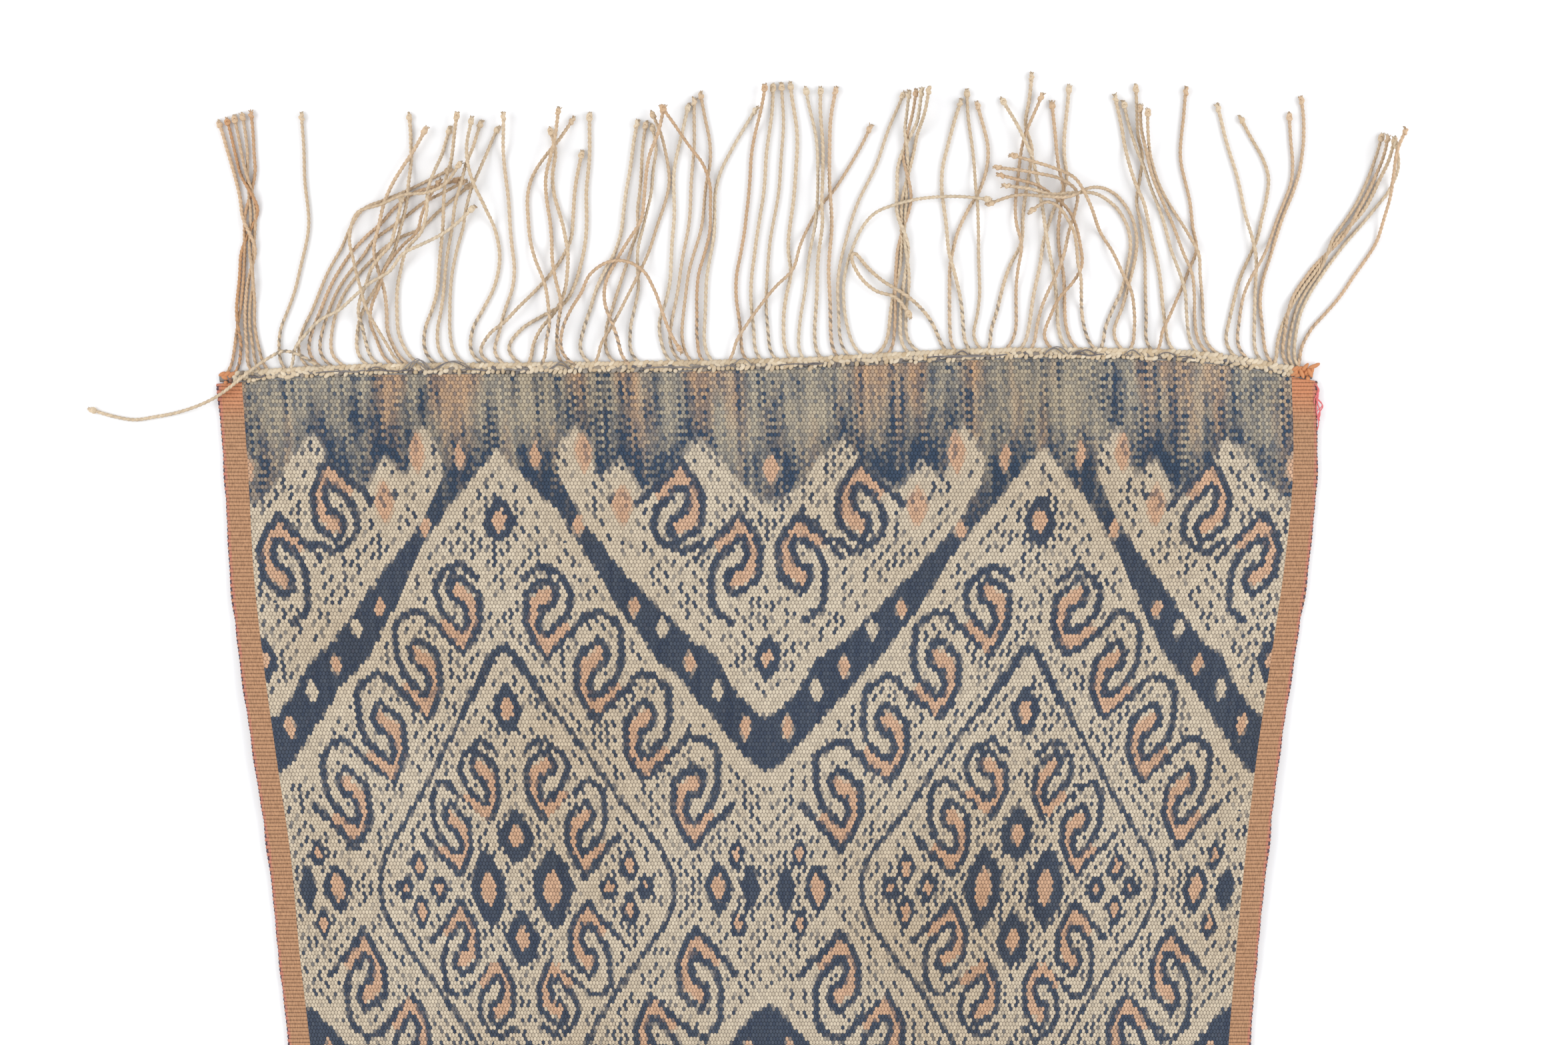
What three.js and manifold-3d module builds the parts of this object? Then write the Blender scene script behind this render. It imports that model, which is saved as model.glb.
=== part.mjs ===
import * as THREE from "three";
import { mergeVertices } from "three/addons/utils/BufferGeometryUtils.js";
import Module from "manifold-3d";

// A warp-faced ikat cloth from a backstrap loom, lying spread out on a flat surface, with the
// twined heading and the knotted, plied fringe at one end. Lengths are in millimetres. X runs
// along the weft from the middle of the cloth, Y along the warp towards the fringe, and Z up
// from the surface. The origin is on the underside, at the middle of the cloth.

const CLOTH_LENGTH = 832;
const CLOTH_THICKNESS = 1.4;
const HEM_WIDTH = 12;
const HEM_STEP = 1.2;
const HEM_SLOPE = 2;
const CLOTH_COLUMNS = 18;
const CLOTH_ROWS = 42;

const HEADING_GAP = 0.3;
const HEADING_WIDTH = 4.4;
const HEADING_THICKNESS = 2.3;
const HEADING_LEFT = -241;
const HEADING_RIGHT = 237;
const HEADING_SEGMENTS = 48;
const HEADING_RIPPLE = 0.35;
const HEADING_RIPPLE_LENGTH = 31;

const CORD_THICKNESS = 1.7;
const CORD_STEPS = 12;
const CORD_GAP = 0.4;
const KNOT_SWELL = 1.35;
const FRINGE_BASE = 419;
const EASE_ROUNDS = 100;
const SIDE_BY_SIDE = 0.8;
const OVERLAP_SAMPLES = 6;
const BUNDLE_LEVELS = [0.13, 0.34, 0.56, 0.8, 1.03];

// The two selvedges, by how far down the cloth from the fringed end. It draws in from both
// ends to a waist at the middle.
const SELVEDGES = [
  { down: 0, left: -242, right: 238.5 },
  { down: 42, left: -239, right: 239 },
  { down: 84, left: -236.5, right: 235 },
  { down: 126, left: -231.5, right: 228.5 },
  { down: 168, left: -225.5, right: 222 },
  { down: 210, left: -219.5, right: 217 },
  { down: 252, left: -215.5, right: 213 },
  { down: 294, left: -210.5, right: 209.5 },
  { down: 350, left: -205, right: 205 },
  { down: 416, left: -202, right: 202 },
];

// How far the woven end bows out past its nominal line, across the cloth.
const END_BOW = [
  { x: -242, out: -2.8 },
  { x: -184, out: 0.7 },
  { x: -104, out: 1.6 },
  { x: 0, out: 3.3 },
  { x: 85, out: 7.4 },
  { x: 139, out: 8 },
  { x: 190, out: 6.2 },
  { x: 226, out: 0.4 },
  { x: 238, out: -1.6 },
];

// Soft places where the cloth doesn't lie quite flat: centre, rise, and reach each way.
const SWELLS = [
  { x: 206, y: 236, rise: 2.6, across: 34, along: 105 },
  { x: -222, y: 262, rise: 2.1, across: 30, along: 90 },
  { x: 64, y: 330, rise: 1.5, across: 26, along: 76 },
  { x: -86, y: 210, rise: 1.7, across: 40, along: 62 },
  { x: 108, y: 96, rise: 2.2, across: 90, along: 24 },
  { x: -198, y: 40, rise: 2.4, across: 28, along: 70 },
  { x: 196, y: -92, rise: 2.8, across: 32, along: 88 },
  { x: -70, y: -148, rise: 2.3, across: 118, along: 26 },
  { x: 60, y: -300, rise: 1.8, across: 34, along: 84 },
  { x: -216, y: -280, rise: 2.6, across: 34, along: 96 },
  { x: 224, y: -330, rise: 2.2, across: 30, along: 60 },
];

// The fringe cords in bundles. Each pair is the X of the bundle's first and last cord, at the
// heading, at the levels above it, and at the knots. reach is how far up their knots lie.
const BUNDLES = [
  { cords: 5, root: [-236, -221], x: [[-235.5, -224], [-233.5, -224], [-232.5, -223], [-234.5, -225], [-240.5, -227]], reach: [104, 108] },
  { cords: 1, root: [-214, -214], x: [[-214.5, 0], [-207.5, 0], [-203, 0], [-203.5, 0], [-204.5, 0]], reach: [107, 0] },
  { cords: 4, root: [-203, -187], x: [[-206, -192], [-199, -190], [-189.5, -180.5], [-172, -161], [-141, -132]], reach: [84, 77] },
  { cords: 2, root: [-177, -158.5], x: [[-180.5, -167], [-172, -168.5], [-162.5, -171.5], [-159, -165], [-159.5, -151]], reach: [107, 101] },
  { cords: 2, root: [-171, -166], x: [[-176, -171], [-177, -174], [-176, -167], [-166, -158], [-160, -147]], reach: [72, 80] },
  { cords: 1, root: [-153, 0], x: [[-162, 0], [-163, 0], [-156, 0], [-150, 0], [-139.5, 0]], reach: [101, 0] },
  { cords: 3, root: [-147, -134.5], x: [[-152, -140], [-145, -139.5], [-143.5, -137.5], [-140, -129], [-136, -117.5]], reach: [107, 101] },
  { cords: 2, root: [-126, -117.5], x: [[-131.5, -122.5], [-121, -114], [-120, -114], [-130, -115.5], [-130.5, -117]], reach: [105, 107] },
  { cords: 1, root: [-122, 0], x: [[-126.5, 0], [-108, 0], [-91, 0], [-86, 0], [-83, 0]], reach: [91, 0] },
  { cords: 2, root: [-110, -104], x: [[-113.5, -103.5], [-89, -92.5], [-81, -91], [-80, -96], [-79.5, -98]], reach: [107, 101] },
  { cords: 2, root: [-98.5, -93], x: [[-99, -94], [-100, -95], [-105.5, -96], [-104, -98.5], [-88, -94]], reach: [106, 109] },
  { cords: 3, root: [-80, -58.5], x: [[-83.5, -62], [-76, -57], [-65.5, -58], [-63, -53.5], [-58.5, -51]], reach: [104, 103] },
  { cords: 2, root: [-75, -64], x: [[-73, -67.5], [-60, -72.5], [-50.5, -61.5], [-46, -55], [-53, -47.5]], reach: [107, 110] },
  { cords: 3, root: [-45, -36], x: [[-46.5, -38], [-43.5, -36.5], [-43, -30], [-41.5, -25.5], [-36, -30.5]], reach: [111, 116] },
  { cords: 1, root: [-31.5, 0], x: [[-31.5, 0], [-32.5, 0], [-27.5, 0], [-28.5, 0], [-47, 0]], reach: [110, 0] },
  { cords: 1, root: [-27, 0], x: [[-28.5, 0], [-28.5, 0], [-25, 0], [-21, 0], [-5.5, 0]], reach: [109, 0] },
  { cords: 4, root: [-12, 7.5], x: [[-14, 4.5], [-15.5, 5], [-10, 8], [-8.5, 11], [-3, 9.5]], reach: [119, 120] },
  { cords: 1, root: [-16.5, 0], x: [[-13, 0], [-1.5, 0], [13, 0], [30.5, 0], [42.5, 0]], reach: [102, 0] },
  { cords: 3, root: [12.5, 27.5], x: [[12, 26.5], [16, 26], [20.5, 26], [20.5, 25.5], [16.5, 28.5]], reach: [118, 118] },
  { cords: 1, root: [33, 0], x: [[30.5, 0], [30, 0], [34.5, 0], [47.5, 0], [58, 0]], reach: [116, 0] },
  { cords: 4, root: [47, 65], x: [[51, 60], [53, 60.5], [54, 62], [56, 63.5], [60.5, 68]], reach: [116, 117] },
  { cords: 2, root: [79, 85.5], x: [[78.5, 84.5], [77.5, 81.5], [82, 77.5], [93.5, 75], [90.5, 83]], reach: [112, 113] },
  { cords: 1, root: [91, 0], x: [[88.5, 0], [91.5, 0], [90, 0], [87.5, 0], [86, 0]], reach: [117, 0] },
  { cords: 2, root: [97, 104], x: [[95.5, 106], [102, 106.5], [108.5, 105], [112.5, 109], [115.5, 119]], reach: [124, 115] },
  { cords: 1, root: [110.5, 0], x: [[112, 0], [117.5, 0], [121.5, 0], [126.5, 0], [130, 0]], reach: [119, 0] },
  { cords: 2, root: [128, 133], x: [[126.5, 130.5], [123.5, 127], [119.5, 123.5], [115, 124], [102.5, 122.5]], reach: [114, 112] },
  { cords: 2, root: [165, 175], x: [[163.5, 172.5], [164, 170.5], [163.5, 166], [159, 156.5], [159, 151.5]], reach: [119, 115] },
  { cords: 1, root: [171, 0], x: [[170, 0], [180.5, 0], [182.5, 0], [178.5, 0], [182, 0]], reach: [118, 0] },
  { cords: 3, root: [185, 196], x: [[182.5, 190], [179, 186.5], [171.5, 178.5], [160, 167], [155, 162.5]], reach: [112, 108] },
  { cords: 2, root: [202, 213], x: [[199.5, 211.5], [204, 211.5], [211.5, 208.5], [217.5, 203], [206.5, 195]], reach: [106, 111] },
  { cords: 2, root: [207.5, 218], x: [[204.5, 215.5], [208, 214.5], [219, 223], [228.5, 232.5], [226.5, 231.5]], reach: [107, 114] },
  { cords: 4, root: [222, 229.5], x: [[221.5, 229.5], [227.5, 235], [243, 250.5], [259, 267], [267, 275]], reach: [98, 95] },
  { cords: 1, root: [232, 0], x: [[233, 0], [249, 0], [264, 0], [268.5, 0], [277, 0]], reach: [99, 0] },
];

// Cords that wander: each point is X, and how far above the fringe's base line it lies.
const STRAYS = [
  [[-208, -2], [-207, 9.5], [-197.5, 21], [-184.5, 29], [-173, 37], [-161, 47.5], [-145.5, 57], [-135, 64.5], [-130, 69.5]],
  [[-162, -1], [-170, 17], [-175, 30], [-179, 46], [-180.5, 57.5], [-175, 64.5], [-161, 71.5], [-147, 77], [-134, 88]],
  [[-87, -1], [-92.5, 12.5], [-90, 23], [-83, 34], [-77, 43.5], [-67, 48], [-54.5, 44], [-46, 28.5], [-41.5, 17], [-38, 10.5]],
  [[39.5, 0], [33.5, 19.5], [32.5, 40], [36, 56], [44, 67.5], [56.5, 73], [71, 75.5], [85, 75.5], [93.5, 74.5]],
  [[75.5, 4], [71, 20], [60.5, 31], [47.5, 40], [39, 48.5], [33.5, 52.5], [36.5, 43.5], [45, 35], [55, 31], [59, 25]],
  [[115.5, 5], [116.5, 20], [126, 47], [133, 67.5], [134, 79], [126, 84], [113, 86.5], [100, 88.5]],
  [[121.5, 5], [119.5, 14], [126, 28.5], [133.5, 41.5], [135.5, 53], [131, 71], [124.5, 80.5], [113, 83.5], [102, 86]],
  [[140.5, 5], [135, 30], [133.5, 51.5], [130, 67], [125, 75], [116, 71]],
  [[146, 5], [147, 21], [154, 38.5], [157, 56], [152.5, 70.5], [143, 77], [129, 78.5], [114.5, 80.5], [103, 82]],
  [[152.5, 5], [150, 17], [156.5, 38.5], [160, 57], [155.5, 73], [143.5, 80.5], [127, 76], [107, 77], [97, 73.5]],
  [[159, 5], [157.5, 24], [154, 41], [146, 57.5], [137.5, 74], [129, 85], [113, 91], [106, 93]],
  [[-196, -1], [-204.5, 6.5], [-213.5, 8], [-222, 3.5], [-232.5, -4.5], [-244, -12.5], [-255.5, -17.5], [-267, -20], [-280, -21.5], [-296, -17.5]],
];

const clamp01 = (value) => Math.min(Math.max(value, 0), 1);

// A smooth curve through one column of a table, read at a place along its key column.
function readTable(rows, key, column, at) {
  const last = rows.length - 1;
  const found = rows.findIndex((row, i) => i < last && at <= rows[i + 1][key]);
  const low = found < 0 ? last - 1 : found;
  const slopeAt = (i) => {
    const before = rows[Math.max(i - 1, 0)];
    const after = rows[Math.min(i + 1, last)];
    return (after[column] - before[column]) / (after[key] - before[key]);
  };
  const [a, b] = [rows[low], rows[low + 1]];
  const span = b[key] - a[key];
  const t = clamp01((at - a[key]) / span);
  const rise = t * t * (3 - 2 * t);
  return (
    a[column] * (1 - rise) +
    b[column] * rise +
    span * (slopeAt(low) * t * (1 - t) ** 2 - slopeAt(low + 1) * t * t * (1 - t))
  );
}

const bowAt = (x) => readTable(END_BOW, "x", "out", x);

function swellAt(x, y) {
  const heights = SWELLS.map((swell) => {
    const off = ((x - swell.x) / swell.across) ** 2 + ((y - swell.y) / swell.along) ** 2;
    return swell.rise * Math.max(0, 1 - off) ** 2;
  });
  return heights.reduce((sum, height) => sum + height, 0);
}

// Moves every corner of a geometry by a function that takes and returns [x, y, z].
function reshape(geometry, move) {
  const corners = geometry.getAttribute("position");
  for (let i = 0; i < corners.count; i += 1) {
    corners.setXYZ(i, ...move(corners.getX(i), corners.getY(i), corners.getZ(i)));
  }
  return geometry;
}

// The woven sheet: a box of thin layers, drawn in to its waist, bowed at the fringed end, and
// a little thicker over the turned hem at the far end.
function clothGeometry() {
  const box = new THREE.BoxGeometry(1, CLOTH_ROWS, 1, CLOTH_COLUMNS, CLOTH_ROWS, 1);
  const hemRows = [0, HEM_WIDTH, HEM_WIDTH + HEM_SLOPE];
  const plainRows = CLOTH_ROWS - hemRows.length + 1;
  const fromFarEnd = (row) => {
    const past = row - hemRows.length + 1;
    const start = hemRows[hemRows.length - 1];
    return past <= 0 ? hemRows[row] : start + (past / plainRows) * (CLOTH_LENGTH - start);
  };
  return reshape(box, (across, along, side) => {
    const up = fromFarEnd(Math.round(along + CLOTH_ROWS / 2));
    const down = Math.min(up, CLOTH_LENGTH - up);
    const left = readTable(SELVEDGES, "down", "left", down);
    const right = readTable(SELVEDGES, "down", "right", down);
    const x = left + (across + 0.5) * (right - left);
    const y = up - CLOTH_LENGTH / 2 + bowAt(x) * clamp01(up / CLOTH_LENGTH) ** 2;
    const hem = up <= HEM_WIDTH ? HEM_STEP : 0;
    const z = swellAt(x, y) + (side > 0 ? CLOTH_THICKNESS + hem : 0);
    return [x, y, z];
  });
}

// The twined heading: a narrow strip that follows the bowed end of the cloth.
function headingGeometry() {
  const length = HEADING_RIGHT - HEADING_LEFT;
  const box = new THREE.BoxGeometry(length, HEADING_WIDTH, 1, HEADING_SEGMENTS, 1, 1);
  return reshape(box, (along, across, side) => {
    const x = HEADING_LEFT + length / 2 + along;
    const ripple = HEADING_RIPPLE * Math.sin((2 * Math.PI * x) / HEADING_RIPPLE_LENGTH);
    const outer = across > 0 ? ripple : 0;
    const y = CLOTH_LENGTH / 2 + bowAt(x) + HEADING_GAP + HEADING_WIDTH / 2 + across + outer;
    return [x, y, side > 0 ? HEADING_THICKNESS : 0];
  });
}

const headingLine = (x) => CLOTH_LENGTH / 2 + bowAt(x) + HEADING_GAP + HEADING_WIDTH / 2;

// A bundle's cords, each as its plan points from the heading to the knot.
function bundleRoutes({ cords, root, x, reach }) {
  return Array.from({ length: cords }, (_, i) => {
    const share = cords > 1 ? i / (cords - 1) : 0;
    const between = ([first, last]) => first + (last - first) * share;
    const start = between(root);
    const points = BUNDLE_LEVELS.map(
      (level, j) => new THREE.Vector2(between(x[j]), FRINGE_BASE + level * between(reach)),
    );
    return [new THREE.Vector2(start, headingLine(start)), ...points];
  });
}

function strayRoute(points) {
  const [[start], ...others] = points;
  const rest = others.map(([x, up]) => new THREE.Vector2(x, FRINGE_BASE + up));
  return [new THREE.Vector2(start, headingLine(start)), ...rest];
}

// The place on a straight stretch that is nearest in plan to a point, as its share of the run.
function nearestShare(point, from, to) {
  const run = { x: to.x - from.x, y: to.y - from.y };
  const along = (point.x - from.x) * run.x + (point.y - from.y) * run.y;
  return clamp01(along / (run.x ** 2 + run.y ** 2));
}

const sizeAt = (i) => CORD_THICKNESS * (i === CORD_STEPS ? KNOT_SWELL : 1);

// Eases cords that run side by side apart in plan, as cords with some body do, and leaves those
// that cross each other at a wide angle. The roots stay where they are.
function easeApart(routes) {
  const cords = routes.map((route) => new THREE.SplineCurve(route).getSpacedPoints(CORD_STEPS));
  const homes = cords.map((cord) => cord.map((point) => point.clone()));
  const directionOf = (cord, i) =>
    cord[Math.min(i + 1, CORD_STEPS)].clone().sub(cord[i - 1]).normalize();
  for (let round = 0; round < EASE_ROUNDS; round += 1) {
    const moves = cords.map((cord, c) =>
      cord.map((point, i) => {
        const move = new THREE.Vector2();
        if (i === 0) return move;
        const direction = directionOf(cord, i);
        cords.forEach((other, o) => {
          if (o === c) return;
          for (let j = 1; j <= CORD_STEPS; j += 1) {
            const [from, to] = [other[j - 1], other[j]];
            if (Math.abs(from.x - point.x) > 14 || Math.abs(from.y - point.y) > 14) continue;
            const near = from.clone().lerp(to, nearestShare(point, from, to));
            const apart = point.clone().sub(near);
            const want = (sizeAt(i) + sizeAt(j)) / 2 + CORD_GAP;
            const away = apart.length();
            const along = Math.abs(directionOf(other, j).dot(direction));
            if (away >= want || along < SIDE_BY_SIDE) continue;
            const side = new THREE.Vector2(-direction.y, direction.x);
            const sense = Math.sign(apart.dot(side)) || Math.sign(c - o);
            move.addScaledVector(side, (sense * (want - away)) / 3);
          }
        });
        const strayed = (k) => cord[k].clone().sub(homes[c][k]);
        const even = strayed(i - 1).add(strayed(Math.min(i + 1, CORD_STEPS)));
        even.multiplyScalar(0.5).sub(strayed(i));
        move.addScaledVector(even, 0.12).addScaledVector(strayed(i), -0.015);
        return move.clampLength(0, 1);
      }),
    );
    cords.forEach((cord, c) => cord.forEach((point, i) => point.add(moves[c][i])));
  }
  return cords;
}

// How high a cord's underside lies over a place in plan: on the cloth or the heading where one
// of them is there, and otherwise on the surface.
function coverAt({ x, y }) {
  const edge = CLOTH_LENGTH / 2 + bowAt(x);
  const beside = x < SELVEDGES[0].left - CORD_THICKNESS || x > SELVEDGES[0].right + CORD_THICKNESS;
  if (beside || y > edge + HEADING_GAP + HEADING_WIDTH + CORD_THICKNESS) return 0;
  const strip = y > edge - CORD_THICKNESS;
  return CORD_GAP + (strip ? HEADING_THICKNESS : CLOTH_THICKNESS + swellAt(x, y));
}

// Lays the cords down one after the other: each rests on what is under it, and on the cords
// that already lie there. Gives each cord's points with the height of its underside.
function layCords(cords) {
  const laid = [];
  cords.forEach((flat) => {
    const under = new Array(CORD_STEPS + 1).fill(0);
    const lift = (i, needed) => {
      under[i] = Math.max(under[i], needed);
      if (i > 1) under[i - 1] = Math.max(under[i - 1], needed);
    };
    for (let i = 1; i <= CORD_STEPS; i += 1) {
      for (let k = 0; i > 1 && k <= OVERLAP_SAMPLES; k += 1) {
        lift(i, coverAt(flat[i - 1].clone().lerp(flat[i], k / OVERLAP_SAMPLES)));
      }
      laid.forEach((other) => {
        for (let j = 1; j <= CORD_STEPS; j += 1) {
          const [from, to] = [other[j - 1], other[j]];
          if (Math.abs(from.x - flat[i].x) > 40 || Math.abs(from.y - flat[i].y) > 40) continue;
          const clear = (sizeAt(i) + sizeAt(j)) / 2 + CORD_GAP * 0.8;
          for (let k = 0; k <= OVERLAP_SAMPLES; k += 1) {
            const place = from.clone().lerp(to, k / OVERLAP_SAMPLES);
            const share = nearestShare(place, flat[i - 1], flat[i]);
            const level = flat[i - 1].clone().lerp(flat[i], share);
            const away = Math.hypot(place.x - level.x, place.y - level.y);
            if (away > clear || (i === 1 && j === 1)) continue;
            lift(i, place.z + sizeAt(j) + CORD_GAP);
          }
        }
      });
    }
    laid.push(flat.map((point, i) => new THREE.Vector3(point.x, point.y, under[i])));
  });
  return laid;
}

// A square-sided cord along its points, level from side to side, swelling at its knot.
function cordGeometry(points) {
  const box = new THREE.BoxGeometry(1, 1, CORD_STEPS, 1, 1, CORD_STEPS);
  return reshape(box, (side, up, along) => {
    const i = Math.round(along + CORD_STEPS / 2);
    const ahead = points[Math.min(i + 1, CORD_STEPS)];
    const behind = points[Math.max(i - 1, 0)];
    const heading = new THREE.Vector2(ahead.x - behind.x, ahead.y - behind.y).normalize();
    const size = sizeAt(i);
    const { x, y, z } = points[i];
    return [x - side * size * heading.y, y + side * size * heading.x, z + (up + 0.5) * size];
  });
}

const wasm = await Module();
wasm.setup();

function toSolid(geometry) {
  const bare = geometry.clone();
  bare.deleteAttribute("normal");
  bare.deleteAttribute("uv");
  const merged = mergeVertices(bare, 1e-4);
  const solid = new wasm.Manifold(
    new wasm.Mesh({
      numProp: 3,
      vertProperties: merged.getAttribute("position").array,
      triVerts: new Uint32Array(merged.index.array),
    }),
  );
  if (solid.volume() < 0) throw new Error("a solid is inside out");
  return solid;
}

function toGeometry(solid) {
  const { vertProperties, triVerts } = solid.getMesh();
  const geometry = new THREE.BufferGeometry();
  geometry.setAttribute("position", new THREE.BufferAttribute(vertProperties, 3));
  geometry.setIndex(new THREE.BufferAttribute(triVerts, 1));
  geometry.computeVertexNormals();
  return geometry;
}

// The heading with every cord grown from it, as one solid.
function fringeGeometry() {
  const routes = [...BUNDLES.flatMap(bundleRoutes), ...STRAYS.map(strayRoute)];
  const cords = layCords(easeApart(routes)).map((points) => toSolid(cordGeometry(points)));
  return toGeometry(cords.reduce((sum, cord) => sum.add(cord), toSolid(headingGeometry())));
}

const cottonIkat = new THREE.MeshStandardMaterial({
  name: "ikat cotton",
  color: 0xa99a86,
  roughness: 0.9,
  metalness: 0,
});
const cottonCord = new THREE.MeshStandardMaterial({
  name: "undyed cotton cord",
  color: 0xc2a888,
  roughness: 0.9,
  metalness: 0,
});

const cloth = new THREE.Mesh(clothGeometry(), cottonIkat);
cloth.name = "ikat_cloth";

const fringe = new THREE.Mesh(fringeGeometry(), cottonCord);
fringe.name = "heading_and_fringe";

const ikatCloth = new THREE.Group();
ikatCloth.add(cloth, fringe);

export default ikatCloth;
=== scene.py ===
"""A handwoven warp-ikat cloth, lying spread out, with its twined heading and corded fringe.

Tables and sizes are in millimetres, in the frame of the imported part: X along the weft, Y along
the warp towards the fringe, Z up. Everything is divided by 1000 on its way into a mesh.
"""

import math

import bpy
import numpy as np
from mathutils import Matrix, Vector


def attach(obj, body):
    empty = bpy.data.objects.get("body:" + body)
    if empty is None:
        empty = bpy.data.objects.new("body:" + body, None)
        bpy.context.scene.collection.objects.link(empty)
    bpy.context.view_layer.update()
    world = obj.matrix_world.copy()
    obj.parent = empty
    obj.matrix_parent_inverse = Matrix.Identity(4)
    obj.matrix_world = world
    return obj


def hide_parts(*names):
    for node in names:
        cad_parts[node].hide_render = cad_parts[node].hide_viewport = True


bl_info = {
    "name": "Ikat Cloth",
    "version": (1, 0, 0),
    "blender": (4, 5, 0),
    "location": "3D View > Sidebar > Ikat Cloth",
    "description": "Weaves an ikat cloth with a twined heading and a corded fringe",
    "category": "Add Mesh",
}

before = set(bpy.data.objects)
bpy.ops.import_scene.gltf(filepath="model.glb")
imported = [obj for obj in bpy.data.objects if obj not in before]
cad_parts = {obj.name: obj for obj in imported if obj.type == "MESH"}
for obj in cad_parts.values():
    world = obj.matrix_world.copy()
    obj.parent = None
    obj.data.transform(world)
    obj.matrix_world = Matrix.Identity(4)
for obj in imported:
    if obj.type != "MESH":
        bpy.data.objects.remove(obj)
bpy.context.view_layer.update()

CLOTH_NODE = "ikat_cloth"
FRINGE_NODE = "heading_and_fringe"

CLOTH_LENGTH = 832
CLOTH_THICKNESS = 1.4
HEM_WIDTH = 12
HEM_STEP = 1.2
HEM_SLOPE = 2
HEM_ROUNDING = 1.5
HEADING_GAP = 0.3
HEADING_WIDTH = 4.4
HEADING_THICKNESS = 2.3
HEADING_LEFT = -241
HEADING_RIGHT = 237
CORD_THICKNESS = 1.7
CORD_STEPS = 12
CORD_GAP = 0.4
KNOT_SWELL = 1.35
FRINGE_BASE = 419
EASE_ROUNDS = 100
SIDE_BY_SIDE = 0.8
OVERLAP_SAMPLES = 6
BUNDLE_LEVELS = (0.13, 0.34, 0.56, 0.8, 1.03)

# Cords of a bundle that lie closer than CLOSE are drawn together by SQUEEZE of the way to their
# middle, and change places within CROSSING of their length.
CLOSE = 3.9
CROSSING = 0.2
SQUEEZE = 0.24
LINE_STEPS = 160
RING_SPACING = 0.45
CORD_SIDES = 8

# Where the cords of the brown stripes start, and how far up the dyed ply shows.
STRIPE_CORDS = 232
DYED_PLY = 32
DYED_PLY_FADE = 12

# The two selvedges: how far down from the fringed end, left, right.
SELVEDGES = (
    (0, -242, 238.5), (42, -239, 239), (84, -236.5, 235), (126, -231.5, 228.5),
    (168, -225.5, 222), (210, -219.5, 217), (252, -215.5, 213), (294, -210.5, 209.5),
    (350, -205, 205), (416, -202, 202),
)

# How far the woven end bows out: x, out.
END_BOW = (
    (-242, -2.8), (-184, 0.7), (-104, 1.6), (0, 3.3), (85, 7.4), (139, 8), (190, 6.2),
    (226, 0.4), (238, -1.6),
)

# Where the cloth doesn't lie quite flat: x, y, rise, reach across, reach along.
SWELLS = (
    (206, 236, 2.6, 34, 105), (-222, 262, 2.1, 30, 90), (64, 330, 1.5, 26, 76),
    (-86, 210, 1.7, 40, 62), (108, 96, 2.2, 90, 24), (-198, 40, 2.4, 28, 70),
    (196, -92, 2.8, 32, 88), (-70, -148, 2.3, 118, 26), (60, -300, 1.8, 34, 84),
    (-216, -280, 2.6, 34, 96), (224, -330, 2.2, 30, 60),
)

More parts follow.
